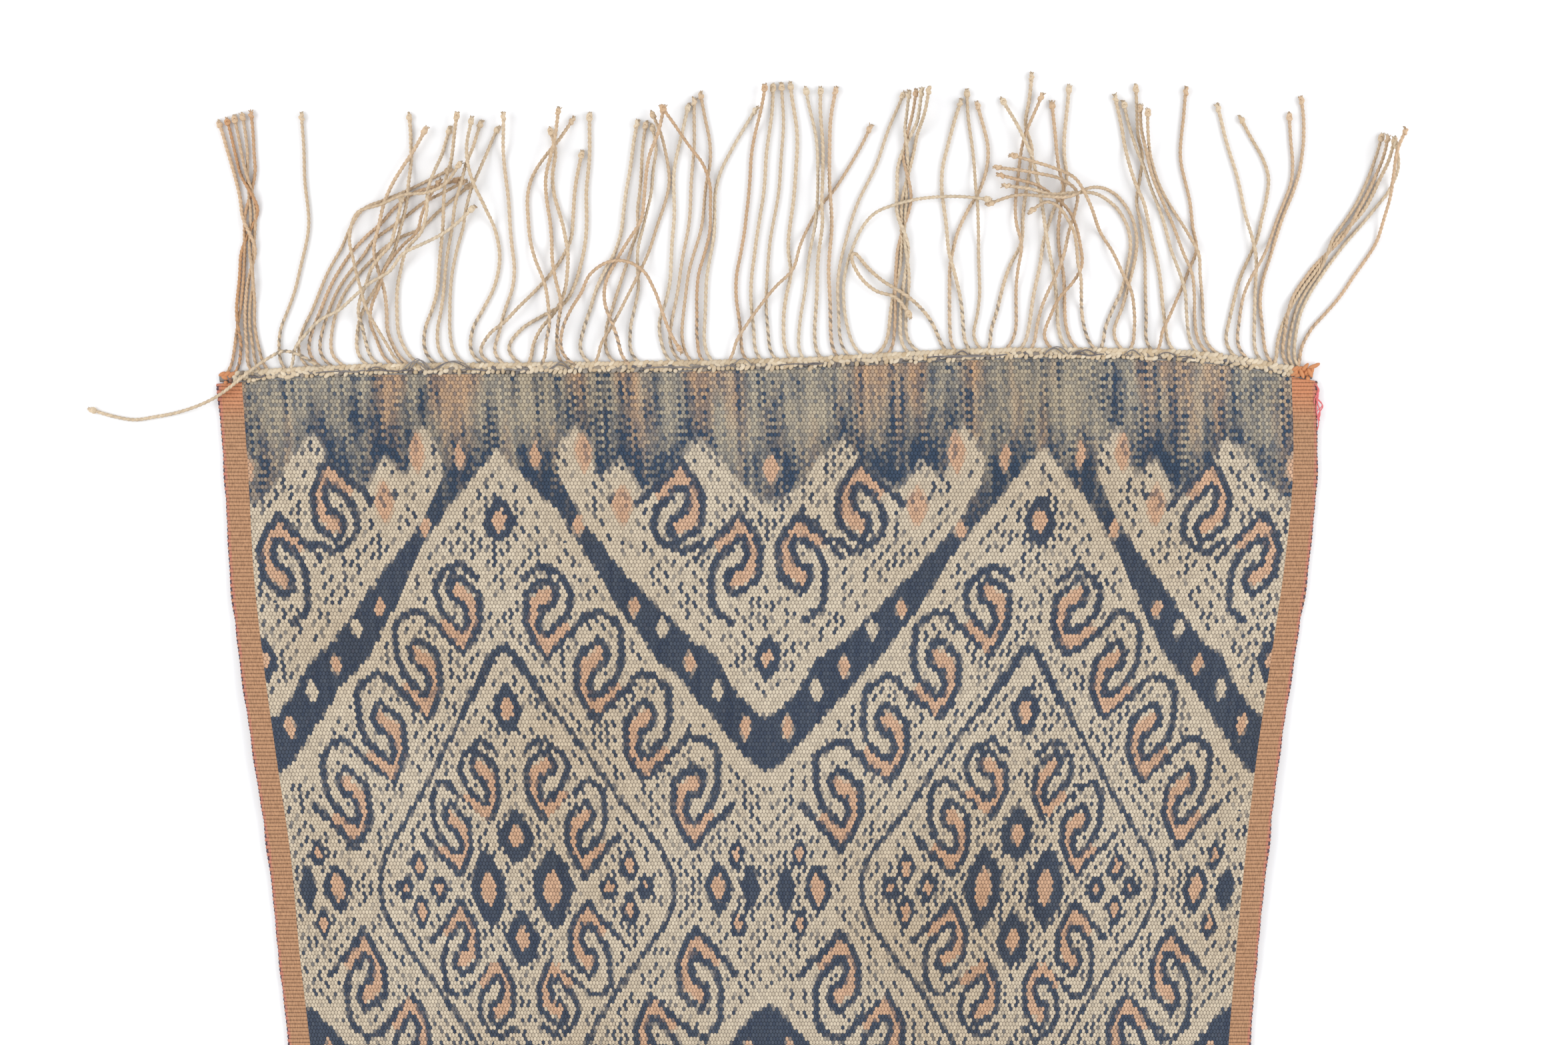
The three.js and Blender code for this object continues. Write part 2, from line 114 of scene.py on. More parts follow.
# The cords in bundles: how many, then for the first and for the last of them its x at the
# heading, its x at the levels above, and how far up its knot lies.
BUNDLES = (
    (
        5,
        (-236, -235.5, -233.5, -232.5, -234.5, -240.5, 104),
        (-221, -224, -224, -223, -225, -227, 108),
    ),
    (1, (-214, -214.5, -207.5, -203, -203.5, -204.5, 107)),
    (4, (-203, -206, -199, -189.5, -172, -141, 84), (-187, -192, -190, -180.5, -161, -132, 77)),
    (
        2,
        (-177, -180.5, -172, -162.5, -159, -159.5, 107),
        (-158.5, -167, -168.5, -171.5, -165, -151, 101),
    ),
    (2, (-171, -176, -177, -176, -166, -160, 72), (-166, -171, -174, -167, -158, -147, 80)),
    (1, (-153, -162, -163, -156, -150, -139.5, 101)),
    (
        3,
        (-147, -152, -145, -143.5, -140, -136, 107),
        (-134.5, -140, -139.5, -137.5, -129, -117.5, 101),
    ),
    (
        2,
        (-126, -131.5, -121, -120, -130, -130.5, 105),
        (-117.5, -122.5, -114, -114, -115.5, -117, 107),
    ),
    (1, (-122, -126.5, -108, -91, -86, -83, 91)),
    (2, (-110, -113.5, -89, -81, -80, -79.5, 107), (-104, -103.5, -92.5, -91, -96, -98, 101)),
    (2, (-98.5, -99, -100, -105.5, -104, -88, 106), (-93, -94, -95, -96, -98.5, -94, 109)),
    (3, (-80, -83.5, -76, -65.5, -63, -58.5, 104), (-58.5, -62, -57, -58, -53.5, -51, 103)),
    (2, (-75, -73, -60, -50.5, -46, -53, 107), (-64, -67.5, -72.5, -61.5, -55, -47.5, 110)),
    (3, (-45, -46.5, -43.5, -43, -41.5, -36, 111), (-36, -38, -36.5, -30, -25.5, -30.5, 116)),
    (1, (-31.5, -31.5, -32.5, -27.5, -28.5, -47, 110)),
    (1, (-27, -28.5, -28.5, -25, -21, -5.5, 109)),
    (4, (-12, -14, -15.5, -10, -8.5, -3, 119), (7.5, 4.5, 5, 8, 11, 9.5, 120)),
    (1, (-16.5, -13, -1.5, 13, 30.5, 42.5, 102)),
    (3, (12.5, 12, 16, 20.5, 20.5, 16.5, 118), (27.5, 26.5, 26, 26, 25.5, 28.5, 118)),
    (1, (33, 30.5, 30, 34.5, 47.5, 58, 116)),
    (4, (47, 51, 53, 54, 56, 60.5, 116), (65, 60, 60.5, 62, 63.5, 68, 117)),
    (2, (79, 78.5, 77.5, 82, 93.5, 90.5, 112), (85.5, 84.5, 81.5, 77.5, 75, 83, 113)),
    (1, (91, 88.5, 91.5, 90, 87.5, 86, 117)),
    (2, (97, 95.5, 102, 108.5, 112.5, 115.5, 124), (104, 106, 106.5, 105, 109, 119, 115)),
    (1, (110.5, 112, 117.5, 121.5, 126.5, 130, 119)),
    (2, (128, 126.5, 123.5, 119.5, 115, 102.5, 114), (133, 130.5, 127, 123.5, 124, 122.5, 112)),
    (2, (165, 163.5, 164, 163.5, 159, 159, 119), (175, 172.5, 170.5, 166, 156.5, 151.5, 115)),
    (1, (171, 170, 180.5, 182.5, 178.5, 182, 118)),
    (3, (185, 182.5, 179, 171.5, 160, 155, 112), (196, 190, 186.5, 178.5, 167, 162.5, 108)),
    (2, (202, 199.5, 204, 211.5, 217.5, 206.5, 106), (213, 211.5, 211.5, 208.5, 203, 195, 111)),
    (2, (207.5, 204.5, 208, 219, 228.5, 226.5, 107), (218, 215.5, 214.5, 223, 232.5, 231.5, 114)),
    (4, (222, 221.5, 227.5, 243, 259, 267, 98), (229.5, 229.5, 235, 250.5, 267, 275, 95)),
    (1, (232, 233, 249, 264, 268.5, 277, 99)),
)

# Cords that wander: x and how far above the fringe's base line, point by point.
STRAYS = (
    (
        (-208, -2), (-207, 9.5), (-197.5, 21), (-184.5, 29), (-173, 37), (-161, 47.5),
        (-145.5, 57), (-135, 64.5), (-130, 69.5),
    ),
    (
        (-162, -1), (-170, 17), (-175, 30), (-179, 46), (-180.5, 57.5), (-175, 64.5),
        (-161, 71.5), (-147, 77), (-134, 88),
    ),
    (
        (-87, -1), (-92.5, 12.5), (-90, 23), (-83, 34), (-77, 43.5), (-67, 48), (-54.5, 44),
        (-46, 28.5), (-41.5, 17), (-38, 10.5),
    ),
    (
        (39.5, 0), (33.5, 19.5), (32.5, 40), (36, 56), (44, 67.5), (56.5, 73), (71, 75.5),
        (85, 75.5), (93.5, 74.5),
    ),
    (
        (75.5, 4), (71, 20), (60.5, 31), (47.5, 40), (39, 48.5), (33.5, 52.5), (36.5, 43.5),
        (45, 35), (55, 31), (59, 25),
    ),
    (
        (115.5, 5), (116.5, 20), (126, 47), (133, 67.5), (134, 79), (126, 84), (113, 86.5),
        (100, 88.5),
    ),
    (
        (121.5, 5), (119.5, 14), (126, 28.5), (133.5, 41.5), (135.5, 53), (131, 71),
        (124.5, 80.5), (113, 83.5), (102, 86),
    ),
    (
        (140.5, 5), (135, 30), (133.5, 51.5), (130, 67), (125, 75), (116, 71),
    ),
    (
        (146, 5), (147, 21), (154, 38.5), (157, 56), (152.5, 70.5), (143, 77), (129, 78.5),
        (114.5, 80.5), (103, 82),
    ),
    (
        (152.5, 5), (150, 17), (156.5, 38.5), (160, 57), (155.5, 73), (143.5, 80.5), (127, 76),
        (107, 77), (97, 73.5),
    ),
    (
        (159, 5), (157.5, 24), (154, 41), (146, 57.5), (137.5, 74), (129, 85), (113, 91),
        (106, 93),
    ),
    (
        (-196, -1), (-204.5, 6.5), (-213.5, 8), (-222, 3.5), (-232.5, -4.5), (-244, -12.5),
        (-255.5, -17.5), (-267, -20), (-280, -21.5), (-296, -17.5),
    ),
)

# The heading's rows of stitches: above the core's middle, pitch, length, width, slant,
# unevenness, share left dark. Then the x of the warm stitches wrapped round its right end.
STITCH_ROWS = (
    (1.4, 2.15, 3.5, 2, 0.55, 0.12, 0.02),
    (0.1, 2.3, 2.9, 2, -0.5, 0.4, 0.1),
    (-1.35, 2.1, 2.7, 1.9, 0.8, 0.45, 0.14),
)
CORE_MIDDLE = 0.85
CORE_HALF_WIDTH = 1.85
CORE_HALF_HEIGHT = 0.8
CORE_RINGS = 240
STITCH_HEIGHT = 1.35
END_STITCHES = (232, 233.5, 235.5, 237, 238, 234.5, 236.5)
# Loops of loose weft on the heading: x, run, rise, how many.
LOOPS = (
    (-176, 7, 2.5, 1), (-158, 13, 5, 3), (-147, 16, 4.2, 2), (-97, 8, 3, 2), (-16, 9, 3.4, 1),
    (78, 8, 2.4, 1), (119, 10, 3.6, 2), (133, 9, 3.2, 2), (153, 7, 2.6, 1), (167, 8, 2.8, 1),
)
THREAD_STEPS = 15
TUCKED_THREADS = 16
PINK_THREADS = 6

# The two wraps of a knot: radius, thickness, how far along, and turn. Then its frayed tip.
KNOT_WRAPS = ((0.85, 0.6, 0, (0.5, 1.2, 0)), (0.8, 0.58, 0.7, (-0.6, 1.9, 0.3)))
KNOT_CORE = 0.95
TIP_HAIRS = 10
HAIR_STEPS = 5
LOWEST = 0.02

# The weave: warp ends across the cloth, the pitch of the weft picks along it, how much a grain
# is wider than high, and the shares of the width that the selvedge stripes take.
WARPS = 604
PICK = 1.63
GRAIN_SHAPE = 3.5
STRIPE = 0.0225
EDGE_STRIPE = 0.004
TURNED_WEFT = 0.0014

# The pattern is charted in units of UNIT millimetres. Rows count down from above the fringe,
# and columns run from a diamond's tip, 0, to the line that the pattern turns over on, 400.
UNIT = 0.2916
ROW_OF_MIDDLE = 1993
TURN = 1333
QUARTER = 400
TOP_ROW = 560
DASH_STEP = 25
WAVER_ALONG = 16
WAVER_ACROSS = 12
EDGE_STRETCH = 0.099
CHEVRON_SLOPE = 0.62

# The eyes, in chart units: x, row, half width, half height, and the share that the brown
# middle takes, which is below zero where the eye is dark all through.
EYES = (
    (0, 782, 25, 36, 0.46), (0, 1065, 23, 38, 0.46), (0, 1255, 27, 41, 0.42),
    (53, 1327, 30, 52, 0.42), (177, 1300, 14, 24, 0.52), (143, 1341, 19, 29, 0.56),
    (203, 1345, 20, 31, 0.56), (350, 1281, 13, 22, 0.5), (320, 1331, 22, 35, 0.52),
    (373, 1338, 17, 38, -0.4), (400, 988, 23, 34, 0.42),
)
# The light spots in the dark parts: x, row, half width, half height, how brown.
SPOTS = (
    (58, 687, 9, 22, 1), (119, 793, 9, 16, 1), (200, 913, 9, 15, 1), (242, 942, 9, 14, 0),
    (282, 998, 9, 17, 1), (325, 1036, 9, 17, 0), (367, 1090, 9, 19, 1), (400, 705, 12, 23, 1),
    (127, 680, 13, 32, 1), (184, 757, 16, 31, 1),
)
# Short dark strokes inside the eyes.
STROKES = (
    ((128, 664), (131, 692)), ((176, 745), (187, 737), (193, 751), (184, 764)),
)
# Lines that are read across the quarter: x, row.
ZIGZAG_TOP = (
    (0, 560), (84, 660), (90, 720), (126, 785), (179, 849), (227, 902), (280, 957), (320, 985),
    (357, 1040), (384, 1068), (400, 1074),
)
ZIGZAG_FOOT = (
    (0, 672), (86, 770), (126, 826), (174, 912), (224, 982), (271, 1028), (310, 1072),
    (348, 1116), (382, 1152), (400, 1160),
)
BAND_FOOT = (
    (0, 640), (74, 712), (84, 700), (96, 664), (117, 640), (147, 717), (180, 687), (213, 737),
    (263, 700), (293, 653), (330, 687), (353, 723), (380, 747), (400, 757),
)
CHEVRON = (
    (0, 972), (10, 975), (60, 1050), (107, 1115), (160, 1191), (232, 1278), (246, 1308),
    (250, 1345), (400, 2400),
)
ZIGZAG_SLOPE = 1.2325
OUT_OF_REACH = 60
ROUGHNESS = 0.92

# One scroll of the pattern's running border, from its own middle: the dyed line, the piece of
# the line before that reaches into its room, and the brown path inside it.
SCROLL_LINE = (
    (38, -14), (30, 12), (2, 39), (-8, 40), (-13, 23), (-7, 4), (12, -7), (16, -26), (3, -42),
    (-13, -32), (-31, -16), (-33, 28), (-20, 56), (-2, 79), (18, 56), (50, 26), (62, 13),
)
SCROLL_TAIL = ((62, 13), (80, 11), (100, 24))
SCROLL_LEAD = ((8, -84), (28, -71), (37, -59), (38, -14))
FIRST_LEAD = ((-32, -41), (-5, -61), (19, -48), (34, -32), (38, -14))
SCROLL_HEART = ((3, -20), (-20, -2), (-23, 30), (-2, 60), (26, 34))
# Chains of scrolls: first middle, step to the next, how many more, size. A size below zero
# turns the scrolls over.
OUTER_CHAIN = ((69, 908), (72, 95), 3, 1)
INNER_CHAIN = ((53, 1165), (55, 78), 1, 0.9)
UPPER_CHAIN = ((267, 770), (86, 80), 1, -1)

# The stage, in metres.
FLOOR_WIDTH = 9
FLOOR_DROP = 0.0002
MIDDLE_OF_VIEW = (0.0058, 0.3525, 0)
LIGHT_ASIDE = 0.95
LIGHT_HEIGHT = 0.75
LIGHT_SIZE = (1.3, 0.7)
LENS = 70


def mm(value):
    return value / 1000


def smooth_table(rows, column, at):
    """Reads one column of a table along its first column, on a smooth curve."""
    keys = np.array([row[0] for row in rows], float)
    values = np.array([row[column] for row in rows], float)
    last = len(rows) - 1
    at = np.clip(at, keys[0], keys[-1])
    low = np.clip(np.searchsorted(keys, at, side="left") - 1, 0, last - 1)
    after = np.minimum(np.arange(1, last + 2), last)
    before = np.maximum(np.arange(-1, last), 0)
    slopes = (values[after] - values[before]) / (keys[after] - keys[before])
    span = keys[low + 1] - keys[low]
    t = (at - keys[low]) / span
    rise = t * t * (3 - 2 * t)
    ease = slopes[low] * t * (1 - t) ** 2 - slopes[low + 1] * t * t * (1 - t)
    return values[low] * (1 - rise) + values[low + 1] * rise + span * ease


def bow_at(x):
    return smooth_table(END_BOW, 1, x)


def swell_at(x, y):
    height = np.zeros(np.broadcast(x, y).shape)
    for swell_x, swell_y, rise, across, along in SWELLS:
        off = ((x - swell_x) / across) ** 2 + ((y - swell_y) / along) ** 2
        height = height + rise * np.clip(1 - off, 0, None) ** 2
    return height


def heading_line(x):
    return CLOTH_LENGTH / 2 + bow_at(x) + HEADING_GAP + HEADING_WIDTH / 2


def curve_through(points, count):
    """Evenly spaced points on a smooth curve through the given ones."""
    points = np.array(points, float)
    spans = len(points) - 1
    t = np.linspace(0, spans, max(200, 2 * spans) + 1)
    base = np.minimum(t.astype(int), spans - 1)
    f = (t - base)[:, None]
    p0 = points[np.maximum(base - 1, 0)]
    p1 = points[base]
    p2 = points[base + 1]
    p3 = points[np.minimum(base + 2, spans)]
    v0 = (p2 - p0) / 2
    v1 = (p3 - p1) / 2
    cubic = (2 * p1 - 2 * p2 + v0 + v1) * f**3
    fine = cubic + (3 * p2 - 3 * p1 - 2 * v0 - v1) * f**2 + v0 * f + p1
    run = np.concatenate([[0], np.cumsum(np.linalg.norm(np.diff(fine, axis=0), axis=1))])
    at = np.linspace(0, run[-1], count)
    return np.stack([np.interp(at, run, fine[:, k]) for k in range(fine.shape[1])], axis=1)


def cord_routes():
    """Each cord's plan points, from the heading to its knot, as the tables give them."""
    routes = []
    for cords, first, *last in BUNDLES:
        for i in range(cords):
            share = i / (cords - 1) if cords > 1 else 0
            between = [a + (b - a) * share for a, b in zip(first, *(last or [first]))]
            route = [(between[0], float(heading_line(between[0])))]
            for level, x in zip(BUNDLE_LEVELS, between[1:-1]):
                route.append((x, FRINGE_BASE + level * between[-1]))
            routes.append(route)
    for points in STRAYS:
        start = points[0][0]
        rest = [(x, FRINGE_BASE + up) for x, up in points[1:]]
        routes.append([(start, float(heading_line(start))), *rest])
    return routes


def cord_sizes():
    sizes = np.full(CORD_STEPS + 1, float(CORD_THICKNESS))
    sizes[-1] *= KNOT_SWELL
    return sizes


def nearest_share(points, starts, runs):
    along = ((points - starts) * runs).sum(-1)
    return np.clip(along / np.maximum((runs**2).sum(-1), 1e-9), 0, 1)


def ease_apart(routes):
    """Eases cords that run side by side apart in plan. The roots stay where they are."""
    cords = np.array([curve_through(route, CORD_STEPS + 1) for route in routes])
    homes = cords.copy()
    count = len(cords)
    sizes = cord_sizes()
    c, i, o, j = np.meshgrid(
        np.arange(count),
        np.arange(1, CORD_STEPS + 1),
        np.arange(count),
        np.arange(1, CORD_STEPS + 1),
        indexing="ij",
    )
    near = (np.abs(cords[c, i] - cords[o, j - 1]).max(-1) < 20) & (c != o)
    c, i, o, j = c[near], i[near], o[near], j[near]
    want = (sizes[i] + sizes[j]) / 2 + CORD_GAP
    for _ in range(EASE_ROUNDS):
        ahead = np.concatenate([cords[:, 1:], cords[:, -1:]], axis=1)
        behind = np.concatenate([cords[:, :1], cords[:, :-1]], axis=1)
        facing = ahead - behind
        facing = facing / np.linalg.norm(facing, axis=-1, keepdims=True)
        starts = cords[o, j - 1]
        runs = cords[o, j] - starts
        points = cords[c, i]
        apart = points - starts - nearest_share(points, starts, runs)[:, None] * runs
        away = np.linalg.norm(apart, axis=-1)
        along = np.abs((facing[o, j] * facing[c, i]).sum(-1))
        side = np.stack([-facing[c, i][:, 1], facing[c, i][:, 0]], axis=1)
        sense = np.sign((apart * side).sum(-1))
        sense = np.where(sense == 0, np.sign(c - o), sense)
        push = np.where((away < want) & (along >= SIDE_BY_SIDE), want - away, 0) * sense / 3
        moves = np.zeros_like(cords)
        np.add.at(moves, (c, i), side * push[:, None])
        strayed = cords - homes
        after = np.concatenate([strayed[:, 1:], strayed[:, -1:]], axis=1)
        before = np.concatenate([strayed[:, :1], strayed[:, :-1]], axis=1)
        moves += 0.12 * ((before + after) / 2 - strayed) - 0.015 * strayed
        length = np.linalg.norm(moves, axis=-1, keepdims=True)
        moves *= np.minimum(1, 1 / np.maximum(length, 1e-9))
        moves[:, 0] = 0
        cords = cords + moves
    return cords


def cover_at(x, y):
    """How high a cord's underside lies on the cloth or the heading, where one is under it."""
    edge = CLOTH_LENGTH / 2 + bow_at(x)
    left, right = SELVEDGES[0][1], SELVEDGES[0][2]
    beside = (x < left - CORD_THICKNESS) | (x > right + CORD_THICKNESS)
    beyond = y > edge + HEADING_GAP + HEADING_WIDTH + CORD_THICKNESS
    strip = y > edge - CORD_THICKNESS
    cover = np.where(strip, HEADING_THICKNESS, CLOTH_THICKNESS + swell_at(x, y)) + CORD_GAP
    return np.where(beside | beyond, 0, cover)


def lay_cords(cords):
    """Rests each cord on what is under it, and on the cords that already lie there."""
    sizes = cord_sizes()
    shares = np.linspace(0, 1, OVERLAP_SAMPLES + 1)
    laid = []
    places = np.zeros((0, 3))
    place_sizes = np.zeros(0)
    place_steps = np.zeros(0, int)
    for flat in cords:
        under = np.zeros(CORD_STEPS + 1)
        for i in range(1, CORD_STEPS + 1):
            run = flat[i] - flat[i - 1]
            needed = 0.0
            if i > 1:
                samples = flat[i - 1] + shares[:, None] * run
                needed = float(cover_at(samples[:, 0], samples[:, 1]).max())
            if len(places):
                share = nearest_share(places[:, :2], flat[i - 1], run)
                away = np.linalg.norm(places[:, :2] - flat[i - 1] - share[:, None] * run, axis=1)
                clear = (sizes[i] + place_sizes) / 2 + CORD_GAP * 0.8
                hit = (away <= clear) & ~((place_steps == 1) & (i == 1))
                if hit.any():
                    top = float((places[:, 2] + place_sizes)[hit].max() + CORD_GAP)
                    needed = max(needed, top)
            under[i] = max(under[i], needed)
            if i > 1:
                under[i - 1] = max(under[i - 1], needed)
        points = np.column_stack([flat, under])
        laid.append(points)
        for j in range(1, CORD_STEPS + 1):
            fresh = points[j - 1] + shares[:, None] * (points[j] - points[j - 1])
            places = np.vstack([places, fresh])
            place_sizes = np.append(place_sizes, np.full(len(fresh), sizes[j]))
            place_steps = np.append(place_steps, np.full(len(fresh), j))
    return laid


def settle(name):
    """Names the active object and puts its place into its mesh."""
    piece = bpy.context.object
    piece.name = name
    bpy.ops.object.transform_apply(location=True, rotation=True, scale=True)
    return piece


def only(piece):
    bpy.ops.object.select_all(action="DESELECT")
    piece.select_set(True)
    bpy.context.view_layer.objects.active = piece


def mesh_piece(name, points, faces, finish, smooth=True):
    """A piece from points in millimetres and the faces between them."""
    mesh = bpy.data.meshes.new(name)
    mesh.from_pydata((np.asarray(points) / 1000).tolist(), [], faces)
    mesh.polygons.foreach_set("use_smooth", np.full(len(faces), smooth))
    mesh.materials.append(finish)
    mesh.update()
    piece = bpy.data.objects.new(name, mesh)
    bpy.context.collection.objects.link(piece)
    return piece


def mark(piece, name, values):
    """Stores a number for each point of a piece, for its finish to read."""
    attribute = piece.data.attributes.new(name, "FLOAT", "POINT")
    attribute.data.foreach_set("value", np.asarray(values, np.float32))


def points_of(mesh):
    points = np.empty(len(mesh.vertices) * 3)
    mesh.vertices.foreach_get("co", points)
    return points.reshape(-1, 3)


class Bundle:
    """Collects many tubes and copies into one piece."""

    def __init__(self):
        self.points = []
        self.faces = []
        self.marks = {}
        self.count = 0

    def add(self, points, faces, **marks):
        self.points.append(points)
        self.faces.extend([tuple(k + self.count for k in face) for face in faces])
        for name, values in marks.items():
            wide = np.broadcast_to(np.asarray(values, float), (len(points),))
            self.marks.setdefault(name, []).append(wide)
        self.count += len(points)

    def piece(self, name, finish):
        made = mesh_piece(name, np.concatenate(self.points), self.faces, finish)
        for mark_name, values in self.marks.items():
            mark(made, mark_name, np.concatenate(values))
        return made


def tube(line, outline):
    """A closed tube: for each ring its middle, and outline's angles and radii by ring."""
    ahead = np.concatenate([line[1:], line[-1:]])
    behind = np.concatenate([line[:1], line[:-1]])
    facing = ahead - behind
    facing = facing / np.maximum(np.linalg.norm(facing, axis=1, keepdims=True), 1e-9)
    side = np.cross(facing, (0, 0, 1))
    side = side / np.maximum(np.linalg.norm(side, axis=1, keepdims=True), 1e-9)
    up = np.cross(side, facing)
    angles, radii = outline
    rings = (
        line[:, None]
        + (radii * np.cos(angles))[..., None] * side[:, None]
        + (radii * np.sin(angles))[..., None] * up[:, None]
    )
    count, sides = angles.shape
    faces = []
    for i in range(count - 1):
        low = i * sides
        for k in range(sides):
            after = (k + 1) % sides
            faces.append((low + k, low + sides + k, low + sides + after, low + after))
    faces.append(tuple(range(sides)))
    faces.append(tuple(reversed(range((count - 1) * sides, count * sides))))
    return rings.reshape(-1, 3), faces


def modelled_once(name):
    """The active object's points in millimetres and its faces. The object is taken away."""
    source = settle(name)
    points = np.array([vertex.co[:] for vertex in source.data.vertices]) * 1000
    faces = [tuple(face.vertices) for face in source.data.polygons]
    mesh = source.data
    bpy.data.objects.remove(source)
    bpy.data.meshes.remove(mesh)
    return points, faces


def stitch_shape():
    """A wrapped stitch: a bead drawn out to a grain, one unit long, wide and high."""
    bpy.ops.object.select_all(action="DESELECT")
    bpy.ops.mesh.primitive_uv_sphere_add(segments=10, ring_count=6, radius=0.5)
    bpy.ops.object.mode_set(mode="EDIT")
    bpy.ops.mesh.select_all(action="SELECT")
    bpy.ops.transform.rotate(value=math.pi / 2, orient_axis="Y", center_override=(0, 0, 0))
    bpy.ops.transform.resize(value=(0.001, 0.001, 0.001), center_override=(0, 0, 0))
    bpy.ops.object.mode_set(mode="OBJECT")
    return modelled_once("stitch")


def knot_shape():
    """An overhand knot's two crossing wraps round a core, about three millimetres across."""
    bpy.ops.object.select_all(action="DESELECT")
    parts = []
    for radius, thickness, along, turn in KNOT_WRAPS:
        bpy.ops.mesh.primitive_torus_add(
            major_segments=12,
            minor_segments=6,
            major_radius=mm(radius),
            minor_radius=mm(thickness),
            location=(mm(along), 0, 0),
            rotation=turn,
        )
        parts.append(bpy.context.object)
    bpy.ops.mesh.primitive_uv_sphere_add(segments=8, ring_count=5, radius=mm(KNOT_CORE))
    for part in parts:
        part.select_set(True)
    bpy.ops.object.join()
    return modelled_once("knot")


def placed(points, size, turn, slant, place):
    """Scales a shape, slants it about Z, tips it about its length and puts it in its place."""
    turns = Matrix.Rotation(slant, 3, "Z") @ Matrix.Rotation(turn, 3, "X")
    return points @ np.array(turns @ Matrix.Diagonal(size)).T + np.asarray(place)


def cloth_across():
    """Where the cloth's columns of points run, closer together at the selvedges."""
    edge = np.array([0, 0.0015, 0.004, 0.009, 0.016, 0.0225, 0.035, 0.055])
    middle = np.linspace(0.085, 0.915, 19)
    return np.concatenate([edge, middle, (1 - edge)[::-1]])


def weave_cloth(settings, finish):
    """The woven sheet with its selvedges, drawn in to its waist, and its turned hem."""
    across = cloth_across()
    columns = len(across) - 1
    rows = 2 * round(CLOTH_LENGTH / PICK)
    bpy.ops.object.select_all(action="DESELECT")
    bpy.ops.mesh.primitive_grid_add(
        x_subdivisions=columns, y_subdivisions=rows, size=1, calc_uvs=False
    )
    cloth = settle("woven_cloth")
    mesh = cloth.data
    grid = points_of(mesh)
    column = np.rint((grid[:, 0] + 0.5) * columns).astype(int)
    row = np.rint((grid[:, 1] + 0.5) * rows).astype(int)
    up = CLOTH_LENGTH * row / rows
    down = np.minimum(up, CLOTH_LENGTH - up)
    left = smooth_table(SELVEDGES, 1, down)
    right = smooth_table(SELVEDGES, 2, down)
    wander = 0.35 * np.sin(up / 23) + 0.3 * np.sin(up / 9.1 + 2) + 0.2 * np.sin(up / 4.3)
    scallop = settings.scallop * 1000 * (row % 2)
    side = np.where(column == 0, -1, np.where(column == columns, 1, 0))
    x = left + across[column] * (right - left) + side * (scallop + np.abs(wander) - 0.6)
    y = up - CLOTH_LENGTH / 2 + bow_at(x) * (up / CLOTH_LENGTH) ** 2
    ripple = np.sin(x / 17 + np.sin(y / 41)) * np.sin(y / 29 + 1.3 * np.sin(x / 37))
    z = swell_at(x, y) + settings.ripple * 1000 * (0.5 + 0.5 * ripple) ** 2
    mesh.vertices.foreach_set("co", (np.column_stack([x, y, z]) / 1000).ravel())
    weave = mesh.uv_layers.new(name="weave")
    corners = np.empty(len(mesh.loops), int)
    mesh.loops.foreach_get("vertex_index", corners)
    along = (y + CLOTH_LENGTH / 2) / CLOTH_LENGTH
    lie = np.column_stack([across[column[corners]], along[corners]])
    weave.data.foreach_set("uv", lie.ravel())
    mesh.materials.append(finish)
    mesh.polygons.foreach_set("use_smooth", np.ones(len(mesh.polygons), bool))
    only(cloth)
    solidify = cloth.modifiers.new("thickness", "SOLIDIFY")
    solidify.thickness = mm(CLOTH_THICKNESS)
    solidify.offset = 1
    bpy.ops.object.modifier_apply(modifier=solidify.name)
    turn_hem(cloth)
    mesh.update()
    return cloth


def turn_hem(cloth):
    """Raises the top face over the turned hem at the far end."""
    mesh = cloth.data
    co = points_of(mesh)
    x, y = co[:, 0] * 1000, co[:, 1] * 1000
    top = co[:, 2] * 1000 > swell_at(x, y) + CLOTH_THICKNESS * 0.6
    up = y + CLOTH_LENGTH / 2
    fold = np.clip((HEM_WIDTH + HEM_SLOPE - up) / HEM_SLOPE, 0, 1)
    round_edge = np.sqrt(np.clip(up / HEM_ROUNDING, 0, 1))
    co[:, 2] += np.where(top, HEM_STEP * fold * round_edge, 0) / 1000
    mesh.vertices.foreach_set("co", co.ravel())


